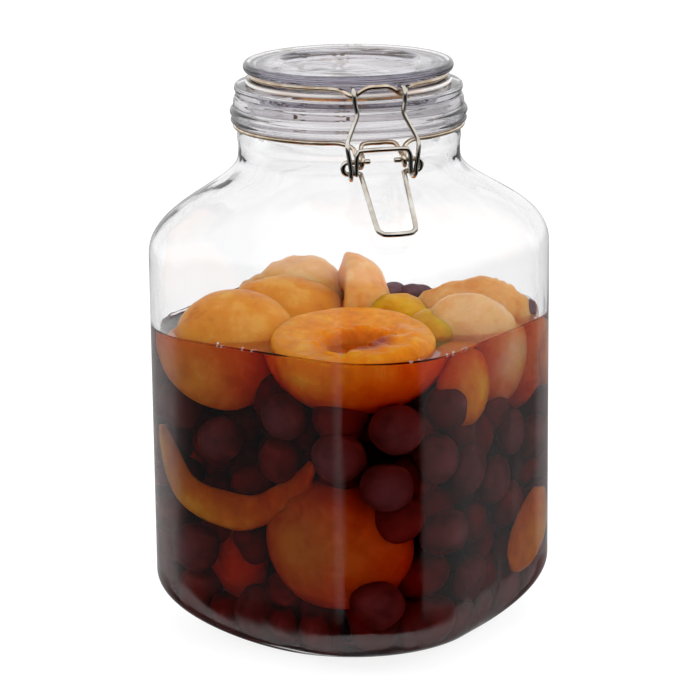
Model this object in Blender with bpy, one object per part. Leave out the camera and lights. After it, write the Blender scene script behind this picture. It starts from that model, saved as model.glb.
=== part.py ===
"""Five litre canning jar with a swing-top wire latch, filled with peach halves and cherries.

Metres, +Z up. The origin is the centre of the foot, on the surface that the jar stands on.
The flat sides of the body face along X and Y. The latch sits over the corner between
+X and -Y, and the lid's hinge is opposite to it.
"""

import math

import bmesh
import bpy
from mathutils import Matrix, Vector

# Driving sizes of the glass body
body_half_side = 0.0829
body_corner_radius = 0.0487
shoulder_bottom_z = 0.1865
shoulder_top_z = 0.2330
shoulder_crown_handle = 0.0252
shoulder_root_handle = 0.0163
foot_radius = 0.0615
foot_land = 0.008
base_fullness = 1.72
foot_round_height = 0.0296
punt_height = 0.002
base_thickness = 0.007
body_wall = 0.004
neck_radius = 0.0528
neck_wall = 0.0048

# Finish above the neck: beads, lip and mouth
neck_groove_z = 0.2466
finish_height = 0.0194
lip_outside_neck = 0.0015
upper_bead_outside_neck = 0.0020
wide_bead_outside_neck = 0.0036
lower_bead_outside_neck = 0.0032
mouth_inside_neck = 0.0090

# Lid and gasket
gasket_thickness = 0.0018
gasket_width = 0.0045
lid_plug_depth = 0.0059
lid_flange_inside_neck = 0.0043
lid_flange_height = 0.0004
lid_groove_height = 0.0031
lid_groove_depth = 0.0034
lid_rim_inside_neck = 0.0030
lid_rim_height = 0.0047
lid_dish_inside_rim = 0.0151
lid_dish_slope_width = 0.0102
lid_dish_depth = 0.0029

# Wires
wire_radius = 0.0011
lever_wire_radius = 0.0012
fit_gap = 0.0003
wire_step = 0.0028
wire_sides_level = 1

# Latch, in the vertical plane that faces its own direction
latch_off_corner_deg = 2.2
pivot_outside_neck = 0.0085
pivot_below_groove = 0.0071
link_pivot_drop = 0.0054
link_pivot_set_in = 0.0003
lever_reach = 0.0360
lever_slope_deg = 40.0
lever_half_width_top = 0.0102
lever_half_width_bottom = 0.0090
lever_corner_radius = 0.0042
stub_end = 0.0060
pivot_eye_middle = 0.0102
ear_middle = 0.0141
link_crossbar_rise = 0.0110
link_half_width = 0.0168
link_waist_half_width = 0.0110
hook_half_width = 0.0120

# Lid hinge at the back
hinge_outside_neck = 0.0087
hinge_z_below_lip = 0.0080
hinge_eye_middle = 0.0105
hinge_bar_half_width = 0.0150

# Filling
liquid_depth_share = 1.8251
liquid_gap = 0.0010
fruit_gap = 0.0003
cherry_share = 0.1521
cherry_height_ratio = 0.94
peach_share = 0.4436
peach_height_ratio = 0.80
pit_share = 0.357
pit_depth_share = 0.243
slice_depth_share = 0.486
slice_thickness_share = 0.429
slice_sweep_deg = 140.0

# Roundness of the turned and lofted solids
ring_points = 48
shoulder_rings = 7
base_rings = 5
eye_points = 8

lip_z = neck_groove_z + finish_height
lip_radius = neck_radius + lip_outside_neck
upper_bead_radius = neck_radius + upper_bead_outside_neck
wide_bead_radius = neck_radius + wide_bead_outside_neck
lower_bead_radius = neck_radius + lower_bead_outside_neck
mouth_radius = neck_radius - mouth_inside_neck
lid_flange_radius = neck_radius - lid_flange_inside_neck
lid_rim_radius = neck_radius - lid_rim_inside_neck
lid_dish_radius = lid_rim_radius - lid_dish_inside_rim
lid_dish_floor_radius = lid_dish_radius - lid_dish_slope_width
pivot_out = neck_radius + pivot_outside_neck
hinge_out = neck_radius + hinge_outside_neck
latch_direction = math.radians(-45.0 + latch_off_corner_deg)
pivot_z = neck_groove_z - pivot_below_groove
link_pivot_out = pivot_out - link_pivot_set_in
link_pivot_z = pivot_z - link_pivot_drop
hinge_z = lip_z - hinge_z_below_lip
inner_half_side = body_half_side - body_wall
inner_corner_radius = body_corner_radius - body_wall
inner_neck_radius = neck_radius - neck_wall
liquid_level_z = base_thickness + liquid_depth_share * inner_half_side
cherry_radius = cherry_share * inner_half_side
peach_radius = peach_share * inner_half_side
wire_seat = wire_radius + fit_gap
groove_radius = neck_radius - fit_gap / 2
neck_wire_radius = groove_radius + wire_seat
lid_flange_z = lip_z + gasket_thickness + 2 * fit_gap
lid_groove_z = lid_flange_z + lid_flange_height + lid_groove_height / 2
lid_rim_z = lid_flange_z + lid_flange_height + lid_groove_height
lid_top_z = lid_rim_z + lid_rim_height
lid_groove_radius = lid_flange_radius - lid_groove_depth
lid_wire_ring_radius = lid_groove_radius + wire_seat


def clear_scene():
    """Remove whatever the file starts with."""
    for item in list(bpy.data.objects):
        bpy.data.objects.remove(item, do_unlink=True)


def make_material(name, colour, roughness, metallic=0.0, transmission=0.0, ior=1.45):
    material = bpy.data.materials.new(name)
    material.use_nodes = True
    shader = material.node_tree.nodes["Principled BSDF"]
    shader.inputs["Base Color"].default_value = (*colour, 1.0)
    shader.inputs["Roughness"].default_value = roughness
    shader.inputs["Metallic"].default_value = metallic
    shader.inputs["Transmission Weight"].default_value = transmission
    shader.inputs["IOR"].default_value = ior
    return material


def link_object(name, data, material):
    """Add an object to the scene with one material, shaded smooth across its round parts."""
    thing = bpy.data.objects.new(name, data)
    bpy.context.scene.collection.objects.link(thing)
    data.materials.append(material)
    return thing


def mesh_object(name, shape, material):
    """Turn a bmesh into a named object. The bmesh is freed."""
    bmesh.ops.recalc_face_normals(shape, faces=shape.faces)
    mesh = bpy.data.meshes.new(name)
    shape.to_mesh(mesh)
    shape.free()
    mesh.shade_smooth()
    mesh.set_sharp_from_angle(angle=math.radians(40))
    return link_object(name, mesh, material)


def move_origin(thing, point):
    """Put an object's origin on a joint's axis and leave its shape where it is."""
    place = Matrix.Translation(Vector(point))
    thing.data.transform(place.inverted())
    thing.matrix_world = place


def squared_radius(angle, half_side, corner_radius):
    """Distance from the axis to the outline of a square with round corners."""
    quarter = math.pi / 2
    turn = abs((angle + quarter / 2) % quarter - quarter / 2)
    corner = half_side - corner_radius
    if half_side * math.tan(turn) <= corner:
        return half_side / math.cos(turn)
    along = corner * (math.cos(turn) + math.sin(turn))
    return along + math.sqrt(along * along - 2 * corner * corner + corner_radius**2)


def section_ring(half_side, corner_radius, height):
    """One level of a lofted body, as points all round."""
    points = []
    for step in range(ring_points):
        angle = 2 * math.pi * step / ring_points
        reach = squared_radius(angle, half_side, corner_radius)
        points.append(Vector((reach * math.cos(angle), reach * math.sin(angle), height)))
    return points


def loft(rings, start=None, end=None):
    """Skin a list of rings. A start or end height closes it with a point on the axis."""
    shape = bmesh.new()
    levels = [[shape.verts.new(point) for point in ring] for ring in rings]
    count = len(levels[0])
    pairs = list(zip(levels, levels[1:]))
    if start is None:
        pairs.append((levels[-1], levels[0]))
    for low, high in pairs:
        for k in range(count):
            shape.faces.new((low[k], low[(k + 1) % count], high[(k + 1) % count], high[k]))
    if start is not None:
        cap_ring(shape, levels[0], start)
        cap_ring(shape, levels[-1], end)
    return shape


def cap_ring(shape, ring, height):
    """Close a ring with a fan to one point on the axis."""
    middle = shape.verts.new((0, 0, height))
    count = len(ring)
    for k in range(count):
        shape.faces.new((ring[k], ring[(k + 1) % count], middle))


def shoulder_levels(side, corner, top_radius, shift=0.0):
    """Half side, corner radius and height down the shoulder, from the neck to the body."""
    levels = []
    for step in range(shoulder_rings + 1):
        u = step / shoulder_rings
        near_neck = (1 - u) ** 3
        neck_pull = 3 * u * (1 - u) ** 2
        body_pull = 3 * u * u * (1 - u)
        near_body = u**3
        spread = body_pull + near_body
        height = (
            near_neck * shoulder_top_z
            + neck_pull * (shoulder_top_z - shoulder_root_handle)
            + body_pull * (shoulder_bottom_z + shoulder_crown_handle)
            + near_body * shoulder_bottom_z
        )
        half_side = top_radius + (side - top_radius) * spread
        corner_radius = top_radius + (corner - top_radius) * spread
        levels.append((half_side, corner_radius, height - shift))
    return levels


def base_levels(side, corner, round_foot, round_height, floor_z):
    """Half side, corner radius and height from the body's wall down to the foot."""
    levels = []
    for step in range(base_rings + 1):
        turn = math.pi / 2 * step / base_rings
        inward = 1 - math.cos(turn) ** base_fullness
        half_side = side + (round_foot - side) * inward
        corner_radius = corner + (round_foot - corner) * inward
        levels.append((half_side, corner_radius, floor_z + round_height * (1 - math.sin(turn))))
    return levels


def inner_base_levels():
    inner_foot = foot_radius - body_wall
    round_height = foot_round_height - body_wall
    return base_levels(inner_half_side, inner_corner_radius, inner_foot, round_height, base_thickness)


def inner_size_at(height):
    """Half side and corner radius of the hollow at a height below the shoulder."""
    levels = inner_base_levels()
    for upper, lower in zip(levels, levels[1:]):
        if lower[2] <= height <= upper[2]:
            share = (height - lower[2]) / (upper[2] - lower[2])
            return tuple(lower[k] + (upper[k] - lower[k]) * share for k in (0, 1))
    return inner_half_side, inner_corner_radius


def finish_profile():
    """Radius and height of the threads and lip above the neck, upwards."""
    bead_low = neck_groove_z + wire_radius + fit_gap
    rise = lip_z - bead_low
    return [
        (neck_radius + 0.0006, neck_groove_z - 0.0058),
        (neck_radius, neck_groove_z - 0.0072 + 0.0042),
        (groove_radius, bead_low - 0.0002),
        (lower_bead_radius - 0.0008, bead_low),
        (lower_bead_radius, bead_low + 0.06 * rise),
        (lower_bead_radius - 0.0007, bead_low + 0.16 * rise),
        (wide_bead_radius - 0.0003, bead_low + 0.24 * rise),
        (wide_bead_radius, bead_low + 0.30 * rise),
        (wide_bead_radius - 0.0004, bead_low + 0.38 * rise),
        (upper_bead_radius - 0.0002, bead_low + 0.46 * rise),
        (upper_bead_radius, bead_low + 0.54 * rise),
        (upper_bead_radius - 0.0012, bead_low + 0.70 * rise),
        (lip_radius - 0.0002, bead_low + 0.84 * rise),
        (lip_radius, bead_low + 0.93 * rise),
        (lip_radius - 0.0016, lip_z),
        (mouth_radius + 0.0008, lip_z),
        (mouth_radius, lip_z - 0.0010),
        (mouth_radius + 0.0006, lip_z - 0.0050),
        (inner_neck_radius, lip_z - 0.0110),
    ]


def build_jar(glass):
    """Glass body: round foot, squared body, round neck, beads and mouth, in one piece."""
    rings = [
        section_ring(foot_radius - foot_land - 0.003, foot_radius - foot_land - 0.003, punt_height),
        section_ring(foot_radius - foot_land, foot_radius - foot_land, 0.0),
    ]
    outer_base = base_levels(body_half_side, body_corner_radius, foot_radius, foot_round_height, 0.0)
    rings += [section_ring(*level) for level in reversed(outer_base)]
    outer_shoulder = shoulder_levels(body_half_side, body_corner_radius, neck_radius)
    rings += [section_ring(*level) for level in reversed(outer_shoulder)]
    rings += [section_ring(radius, radius, height) for radius, height in finish_profile()]
    inner_shoulder = shoulder_levels(inner_half_side, inner_corner_radius, inner_neck_radius, body_wall / 2)
    rings += [section_ring(*level) for level in inner_shoulder]
    rings += [section_ring(*level) for level in inner_base_levels()]
    shape = loft(rings, start=punt_height, end=base_thickness)
    return mesh_object("glass_jar", shape, glass)


def turned(profile, start=None, end=None):
    """A solid of revolution from radius and height pairs."""
    return loft([section_ring(radius, radius, height) for radius, height in profile], start, end)


def build_lid(glass):
    """Glass lid: plug, flange on the gasket, wire groove, thick rim and a dished top."""
    plug_z = lip_z - lid_plug_depth + 0.0023
    plug_radius = mouth_radius - 2 * fit_gap
    profile = [
        (plug_radius - 0.0050, plug_z),
        (plug_radius - 0.0016, plug_z + 0.0010),
        (plug_radius, plug_z + 0.0030),
        (plug_radius, lid_flange_z),
        (lid_flange_radius - 0.0003, lid_flange_z),
        (lid_flange_radius, lid_flange_z + lid_flange_height / 2),
        (lid_flange_radius - 0.0004, lid_flange_z + lid_flange_height),
        (lid_groove_radius, lid_flange_z + lid_flange_height),
        (lid_groove_radius, lid_rim_z),
        (lid_rim_radius - 0.0014, lid_rim_z),
        (lid_rim_radius - 0.0002, lid_rim_z + 0.24 * lid_rim_height),
        (lid_rim_radius, lid_rim_z + 0.52 * lid_rim_height),
        (lid_rim_radius - 0.0005, lid_rim_z + 0.86 * lid_rim_height),
        (lid_rim_radius - 0.0018, lid_top_z),
        (lid_dish_radius, lid_top_z),
        (lid_dish_radius - 0.0035, lid_top_z - 0.55 * lid_dish_depth),
        (lid_dish_floor_radius, lid_top_z - lid_dish_depth),
    ]
    shape = turned(profile, start=plug_z, end=lid_top_z - lid_dish_depth)
    return mesh_object("glass_lid", shape, glass)


def build_gasket(rubber):
    """Flat rubber ring between the jar's lip and the lid's flange."""
    inner = mouth_radius + fit_gap
    outer = inner + gasket_width
    low = lip_z + fit_gap
    high = low + gasket_thickness
    edge = gasket_thickness / 2
    profile = [
        (inner, low),
        (outer, low),
        (outer + 0.0004, low + edge),
        (outer, high),
        (inner, high),
    ]
    return mesh_object("rubber_gasket", turned(profile), rubber)


def at_latch(out, across, height):
    """World place of a point out from the axis, across to the right and up, at the latch."""
    return Vector(
        (
            out * math.cos(latch_direction) - across * math.sin(latch_direction),
            out * math.sin(latch_direction) + across * math.cos(latch_direction),
            height,
        )
    )


def curve_through(points, closed):
    """A smooth run of evenly spaced points through chosen ones."""
    count = len(points)
    spans = count if closed else count - 1
    fine = []
    for k in range(spans):
        if closed:
            a, b, c, d = (points[(k + j) % count] for j in (-1, 0, 1, 2))
        else:
            a, b, c, d = (points[min(max(k + j, 0), count - 1)] for j in (-1, 0, 1, 2))
        pieces = max(1, round((c - b).length / wire_step))
        for j in range(pieces):
            u = j / pieces
            fine.append(
                b
                + (c - a) * (u / 2)
                + (a * 2 - b * 5 + c * 4 - d) * (u * u / 2)
                + (b * 3 - a - c * 3 + d) * (u**3 / 2)
            )
    if not closed:
        fine.append(points[-1])
    return fine


def wire(name, points, radius, closed, metal):
    """A bent wire along chosen points."""
    curve = bpy.data.curves.new(name, "CURVE")
    curve.dimensions = "3D"
    curve.bevel_depth = radius
    curve.bevel_resolution = wire_sides_level
    curve.render_resolution_u = 0
    curve.use_fill_caps = True
    path = curve_through(points, closed)
    spline = curve.splines.new("POLY")
    spline.points.add(len(path) - 1)
    for point, place in zip(spline.points, path):
        point.co = (*place, 1.0)
    spline.use_cyclic_u = closed
    spline.use_smooth = True
    return link_object(name, curve, metal)


def ring_arc(radius, height, first_across, last_across, side):
    """Points on a ring round the jar, given by where it starts and ends beside the latch."""
    first = math.asin(first_across / radius)
    last = math.pi - math.asin(last_across / radius)
    steps = 15
    points = []
    for step in range(steps + 1):
        angle = first + (last - first) * step / steps
        points.append(at_latch(radius * math.cos(angle), side * radius * math.sin(angle), height))
    return points


def eye(out, height, middle, pitch, first_deg, last_deg, radius, side):
    """One turn of wire round a crosswise bar, moving sideways by one pitch."""
    points = []
    for step in range(eye_points + 1):
        share = step / eye_points
        angle = math.radians(first_deg + (last_deg - first_deg) * share)
        across = middle + pitch * (0.5 - share)
        points.append(
            at_latch(out + radius * math.cos(angle), side * across, height + radius * math.sin(angle))
        )
    return points


def build_neck_wire(metal):
    """Wire in the groove under the beads, with two eyes in front and two hooks behind."""
    eye_radius = lever_wire_radius + wire_seat + 0.00005
    pitch = 0.0019
    half = []
    half.append(at_latch(neck_wire_radius, 0, neck_groove_z))
    half.append(at_latch(neck_wire_radius - 0.0002, 0.0045, neck_groove_z))
    half.append(at_latch(neck_wire_radius + 0.0010, 0.0079, neck_groove_z - 0.0006))
    half.append(at_latch(pivot_out - 0.0030, pivot_eye_middle - 0.0011, pivot_z + 0.0037))
    half += eye(pivot_out, pivot_z, pivot_eye_middle, -pitch, 95, -180, eye_radius, 1)
    half.append(at_latch(pivot_out - 0.0038, pivot_eye_middle + 0.0014, pivot_z + 0.0030))
    half.append(at_latch(neck_wire_radius + 0.0012, pivot_eye_middle + 0.0024, neck_groove_z - 0.0016))
    half += ring_arc(neck_wire_radius, neck_groove_z, 0.0175, hinge_eye_middle + 0.0075, 1)
    back_radius = wire_radius + wire_seat
    half.append(at_latch(-neck_wire_radius - 0.0018, hinge_eye_middle + 0.0026, neck_groove_z - 0.0001))
    half.append(at_latch(-hinge_out + back_radius - 0.0001, hinge_eye_middle + 0.0015, neck_groove_z + 0.0035))
    half += eye(-hinge_out, hinge_z, hinge_eye_middle, 0.0026, 0, 180, back_radius, 1)
    half.append(at_latch(-hinge_out - back_radius, hinge_eye_middle - 0.0015, neck_groove_z + 0.0035))
    half.append(at_latch(-hinge_out + 0.0002, hinge_eye_middle - 0.0024, neck_groove_z - 0.0006))
    half.append(at_latch(-neck_wire_radius - 0.0016, hinge_eye_middle - 0.0045, neck_groove_z - 0.0002))
    half.append(at_latch(-neck_wire_radius - 0.0001, 0.0025, neck_groove_z))
    other = [mirror_across(point) for point in reversed(half[1:])]
    thing = wire("neck_wire", half + other, wire_radius, True, metal)
    return thing


def mirror_across(point):
    """The same point on the other side of the latch's own plane."""
    across_axis = Vector((-math.sin(latch_direction), math.cos(latch_direction), 0))
    return point - across_axis * (2 * point.dot(across_axis))


def build_lid_wire(metal):
    """Wire in the lid's groove: a notched arch in front and a hinge bar behind."""
    z = lid_groove_z
    ring = lid_wire_ring_radius
    half = [
        at_latch(ring + 0.0093, 0, z + 0.0023),
        at_latch(ring + 0.0091, 0.0045, z + 0.0021),
        at_latch(ring + 0.0083, 0.0082, z + 0.0002),
        at_latch(ring + 0.0078, 0.0104, z - 0.0013),
        at_latch(ring + 0.0076, hook_half_width, z - 0.0016),
        at_latch(ring + 0.0061, hook_half_width + 0.0014, z - 0.0011),
        at_latch(ring + 0.0035, hook_half_width + 0.0026, z - 0.0003),
        at_latch(ring - 0.0003, hook_half_width + 0.0044, z),
    ]
    half += ring_arc(lid_wire_ring_radius, z, 0.0210, hinge_bar_half_width + 0.0045, 1)
    half += [
        at_latch(-ring - 0.0013, hinge_bar_half_width + 0.0020, z),
        at_latch(-ring - 0.0065, hinge_bar_half_width + 0.0004, z - 0.0003),
        at_latch(-ring - 0.0115, hinge_bar_half_width, z - 0.0022),
        at_latch(-hinge_out + 0.0002, hinge_bar_half_width, hinge_z + 0.0062),
        at_latch(-hinge_out, hinge_bar_half_width, hinge_z + 0.0022),
        at_latch(-hinge_out, hinge_bar_half_width - 0.0012, hinge_z + 0.0003),
        at_latch(-hinge_out, hinge_bar_half_width - 0.0035, hinge_z),
        at_latch(-hinge_out, 0.0050, hinge_z),
    ]
    other = [mirror_across(point) for point in reversed(half[1:])]
    return wire("lid_wire", half + other, wire_radius, True, metal)


def build_lever(metal):
    """Thumb lever: a U of wire whose ends turn out round the ears and in through the eyes."""
    slope = math.radians(lever_slope_deg)
    along = Vector((math.cos(slope), -math.sin(slope)))

    def on_arm(distance, across):
        return at_latch(link_pivot_out + along.x * distance, across, link_pivot_z + along.y * distance)

    turn_out = ear_middle + 0.0023
    turn_radius = link_pivot_drop / 2
    half = [
        at_latch(pivot_out, stub_end, pivot_z),
        at_latch(pivot_out, pivot_eye_middle, pivot_z),
        at_latch(pivot_out, turn_out, pivot_z),
    ]
    for step in (1, 2, 3):
        angle = math.pi * step / 4
        share = (1 - math.cos(angle)) / 2
        half.append(
            at_latch(
                pivot_out - link_pivot_set_in * share,
                turn_out + turn_radius * 0.8 * math.sin(angle),
                pivot_z - link_pivot_drop * share,
            )
        )
    half += [
        at_latch(link_pivot_out, turn_out, link_pivot_z),
        at_latch(link_pivot_out, ear_middle, link_pivot_z),
        at_latch(link_pivot_out, lever_half_width_top + 0.0016, link_pivot_z),
        on_arm(0.0005, lever_half_width_top + 0.0003),
        on_arm(0.0020, lever_half_width_top),
        on_arm(0.5 * lever_reach, (lever_half_width_top + lever_half_width_bottom) / 2),
        on_arm(lever_reach - lever_corner_radius, lever_half_width_bottom),
        on_arm(lever_reach - 0.3 * lever_corner_radius, lever_half_width_bottom - 0.3 * lever_corner_radius),
        on_arm(lever_reach, lever_half_width_bottom - lever_corner_radius),
    ]
    other = [mirror_across(point) for point in reversed(half)]
    thing = wire("latch_lever", half + other, lever_wire_radius, False, metal)
    return thing


def build_link(metal):
    """Vase-shaped link: hooks over the lid wire, ears round the lever and a cross bar."""
    ear_radius = lever_wire_radius + wire_seat + 0.00005
    front = link_pivot_out + ear_radius
    bar_z = link_pivot_z + link_crossbar_rise
    hook_z = lid_groove_z + 0.0013
    ring = lid_wire_ring_radius
    half = [
        at_latch(ring + 0.0049, hook_half_width - 0.0010, hook_z),
        at_latch(ring + 0.0080, hook_half_width - 0.0004, hook_z + 0.0001),
        at_latch(ring + 0.0103, hook_half_width, hook_z - 0.0003),
        at_latch(ring + 0.0112, hook_half_width, hook_z - 0.0022),
        at_latch(ring + 0.0117, hook_half_width - 0.0003, hook_z - 0.0060),
        at_latch(ring + 0.0125, link_waist_half_width, hook_z - 0.0108),
        at_latch(ring + 0.0139, link_waist_half_width + 0.0022, hook_z - 0.0158),
        at_latch(ring + 0.0157, link_half_width - 0.0006, hook_z - 0.0222),
        at_latch(front - 0.0003, link_half_width, bar_z + 0.0015),
        at_latch(front + 0.0006, link_half_width - 0.0007, bar_z - 0.0040),
        at_latch(front + 0.0003, ear_middle + 0.0013, link_pivot_z + 0.0026),
    ]
    half += eye(link_pivot_out, link_pivot_z, ear_middle, 0.0025, 0, -360, ear_radius, 1)
    half += [
        at_latch(front + 0.0004, ear_middle - 0.0013, pivot_z - 0.0012),
        at_latch(front + 0.0004, ear_middle - 0.0014, bar_z - 0.0035),
        at_latch(front + 0.0003, ear_middle - 0.0024, bar_z - 0.0009),
        at_latch(front + 0.0003, ear_middle - 0.0050, bar_z),
    ]
    other = [mirror_across(point) for point in reversed(half)]
    return wire("latch_link", half + other, wire_radius, False, metal)


def dome_shape(radius, height, pit_depth):
    """Half a stone fruit with its cut face up, as a bmesh round its own middle."""
    shape = bmesh.new()
    sides = 14
    pit = pit_share * radius
    profile = [(pit * 0.55, -pit_depth), (pit, -pit_depth * 0.35), (pit * 1.15, 0.0), (radius * 0.985, 0.0)]
    for step in range(1, 5):
        angle = math.pi / 2 * step / 5
        profile.append((radius * math.cos(angle * 0.98), -height * math.sin(angle)))
    levels = []
    for reach, level in profile:
        ring = []
        for k in range(sides):
            angle = 2 * math.pi * k / sides
            ring.append(shape.verts.new((reach * math.cos(angle), reach * math.sin(angle), level)))
        levels.append(ring)
    for low, high in zip(levels, levels[1:]):
        for k in range(sides):
            shape.faces.new((low[k], low[(k + 1) % sides], high[(k + 1) % sides], high[k]))
    cap_ring(shape, levels[0], -pit_depth * 1.1)
    cap_ring(shape, levels[-1], -height)
    bmesh.ops.recalc_face_normals(shape, faces=shape.faces)
    return shape


def slice_shape(radius):
    """A crescent of peach: round outside, thin inside, pointed at both ends."""
    shape = bmesh.new()
    depth = slice_depth_share * peach_radius
    thickness = slice_thickness_share * peach_radius
    steps = 8
    sweep = math.radians(slice_sweep_deg)
    outline = ((0.0, 0.5), (-0.35, 0.46), (-0.75, 0.22), (-1.0, 0.0), (-0.75, -0.22), (-0.35, -0.46), (0.0, -0.5))
    levels = []
    for step in range(1, steps):
        angle = sweep * (step / steps - 0.5)
        fullness = math.cos(math.pi * (step / steps - 0.5)) ** 0.6
        ring = []
        for inward, sideways in outline:
            reach = radius * 0.93 + depth * 0.5 * fullness + depth * inward * fullness
            ring.append(
                shape.verts.new(
                    (reach * math.sin(angle), thickness * sideways * fullness, reach * math.cos(angle) - radius)
                )
            )
        levels.append(ring)
    count = len(outline)
    for low, high in zip(levels, levels[1:]):
        for k in range(count):
            shape.faces.new((low[k], low[(k + 1) % count], high[(k + 1) % count], high[k]))
    for ring, turn in ((levels[0], -0.5), (levels[-1], 0.5)):
        angle = sweep * turn
        reach = radius * 0.93
        tip = shape.verts.new((reach * math.sin(angle), 0, reach * math.cos(angle) - radius))
        for k in range(count):
            shape.faces.new((ring[k], ring[(k + 1) % count], tip))
    bmesh.ops.recalc_face_normals(shape, faces=shape.faces)
    return shape


def cherry_shape():
    """A slightly flattened ball."""
    shape = bmesh.new()
    bmesh.ops.create_icosphere(shape, subdivisions=2, radius=cherry_radius)
    bmesh.ops.scale(shape, vec=(1, 1, cherry_height_ratio), verts=shape.verts)
    return shape


def facing(direction, spin_deg=0.0):
    """Rotation that turns a shape's own +Z to a direction."""
    turn = Vector(direction).normalized().to_track_quat("Z", "Y").to_matrix().to_4x4()
    return turn @ Matrix.Rotation(math.radians(spin_deg), 4, "Z")


def peach_halves():
    """Size, middle and cut face direction of each peach half, the first ones pressing into the later.

    The size is a share of the peach radius. The middle is in shares of the hollow's half side,
    its height measured from the liquid's level for the floating ones and from the floor for the rest.
    """
    floating = [
        (0.943, (-0.441, -0.589, -0.165), (-0.30, 0.55, -0.78)),
        (1.100, (0.344, -0.494, 0.042), (0.07, -0.05, 0.995)),
        (0.771, (-0.221, 0.189, 0.010), (-0.76, -0.64, 0.0)),
        (0.829, (-0.444, -0.061, -0.095), (-0.26, 0.49, -0.83)),
        (0.857, (-0.593, 0.250, -0.070), (0.19, 0.54, -0.82)),
        (0.775, (0.674, 0.205, -0.158), (-0.73, 0.67, -0.10)),
        (0.930, (0.523, 0.566, -0.190), (-0.49, 0.85, -0.15)),
    ]
    resting = [
        (1.000, (0.254, -0.632, 0.697), (-0.25, 0.97, 0.0)),
        (0.950, (-0.661, 0.020, 0.748), (1.0, 0.0, 0.0)),
        (0.950, (-0.150, 0.661, 0.672), (0.0, -1.0, 0.0)),
    ]
    small = [(0.571, (0.220, 0.174, -0.089), (-0.27, 0.42, -0.86))]
    halves = [(size, fruit_place(middle, liquid_level_z), cut) for size, middle, cut in floating]
    halves += [(size, fruit_place(middle, base_thickness), cut) for size, middle, cut in resting]
    return halves + [(size, fruit_place(middle, liquid_level_z), cut) for size, middle, cut in small]


def fruit_place(middle, from_height):
    """A place in the filling, given in shares of the hollow's half side."""
    span = inner_half_side
    return (middle[0] * span, middle[1] * span, from_height + middle[2] * span)


def peach_slices():
    """Size, middle, outward direction and back direction of each slice, given as for the halves."""
    return [
        (1.085, fruit_place((-0.253, -0.896, 0.798), base_thickness), (-0.06, -0.998, 0.0), (0.0, 0.0, -1.0)),
        (0.900, fruit_place((0.897, 0.355, 0.520), base_thickness), (1.0, 0.0, 0.0), (0.0, 0.60, -0.80)),
    ]


def cherry_spots():
    """Direction round the axis in degrees, depth behind the wall and height of each cherry.

    Depth and height are in shares of the hollow's half side, the height from the floor or,
    where it is below zero or named as afloat, from the liquid's level.
    """
    return [
        (88.6, 0.257, -0.038),
        (75.6, 0.007, -0.063),
        (-46.0, 0.0, 1.059),
        (-46.7, 0.0, 0.295),
        (-60.8, 0.0, 1.236),
        (-112.4, 0.0, 1.232),
        (-82.1, 0.0, -0.39),
        (-123.6, 0.0, 0.514),
        (-29.5, 0.0, 1.192),
        (-12.4, 0.0, 1.057),
        (6.8, 0.0, 0.917),
        (19.0, 0.0, 1.171),
        (36.1, 0.0, 1.061),
        (-25.3, 0.0, 0.715),
        (-11.4, 0.0, 0.368),
        (-30.0, 0.0, 0.196),
        (22.5, 0.0, 0.19),
        (-102.2, 0.0, 0.184),
        (-130.9, 0.0, 1.379),
        (-139.5, 0.0, 0.68),
        (-42.9, 0.0, -0.414),
        (-130.3, 0.0, 0.224),
        (-141.0, 0.0, 1.115),
        (42.0, 0.0, 0.583),
        (-159.0, 0.0, 1.191),
        (51.0, 0.0, 1.242),
        (60.0, 0.0, 0.583),
        (69.0, 0.0, 1.191),
        (167.0, 0.0, 1.267),
        (90.0, 0.0, 1.191),
        (147.0, 0.0, 0.583),
        (149.0, 0.0, 1.191),
        (112.0, 0.0, 1.191),
        (131.0, 0.0, 1.166),
        (-23.0, 0.0, -0.33),
        (-150.0, 0.0, 0.279),
        (-148.0, 0.0, -0.33),
        (42.0, 0.0, 0.253),
        (51.0, 0.0, 0.862),
    ]


def build_fruit(flesh, skin):
    """Peach pieces and cherries. Returns the pockets that they need in the liquid.

    A half that floats with its cut face up keeps the liquid out of its stone cavity.
    """
    pieces = []
    for number, (size, middle, outward, back) in enumerate(peach_slices(), 1):
        shape = slice_shape(peach_radius * size)
        shape.transform(Matrix.Translation(middle) @ slice_turn(outward, back))
        pieces.append((f"peach_slice_{number}", shape, shape))
    for number, (size, middle, cut_face) in enumerate(peach_halves(), 1):
        radius = peach_radius * size
        place = Matrix.Translation(middle) @ facing(cut_face)
        shape = dome_shape(radius, radius * peach_height_ratio, radius * pit_depth_share)
        shape.transform(place)
        filler = shape
        if cut_face[2] > 0:
            filler = dome_shape(radius, radius * peach_height_ratio, 0.0)
            filler.transform(place)
        pieces.append((f"peach_half_{number}", shape, filler))
    pockets = []
    for name, shape, filler in pieces:
        pocket = pocket_object(f"pocket_{name}", [filler], flesh)
        thing = mesh_object(name, shape, flesh)
        for earlier in pockets:
            if boxes_meet(thing, earlier):
                cut_out(thing, earlier)
        pockets.append(pocket)
    cherries = []
    for number, spot in enumerate(cherry_spots(), 1):
        shape = cherry_shape()
        shape.transform(Matrix.Translation(cherry_place(*spot)))
        cherries.append((f"cherry_{number}", shape))
    pockets.append(pocket_object("pocket_cherries", [shape for name, shape in cherries], skin))
    for name, shape in cherries:
        mesh_object(name, shape, skin)
    return pockets


def boxes_meet(one, other):
    """Whether the boxes round two meshes that lie in world space meet."""
    for axis in range(3):
        first = [vertex.co[axis] for vertex in one.data.vertices]
        second = [vertex.co[axis] for vertex in other.data.vertices]
        if min(first) > max(second) or min(second) > max(first):
            return False
    return True


def cut_out(thing, cutter):
    """Take a hidden solid out of an object."""
    cut = thing.modifiers.new(cutter.name, "BOOLEAN")
    cut.operation = "DIFFERENCE"
    cut.solver = "EXACT"
    cut.object = cutter


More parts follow.
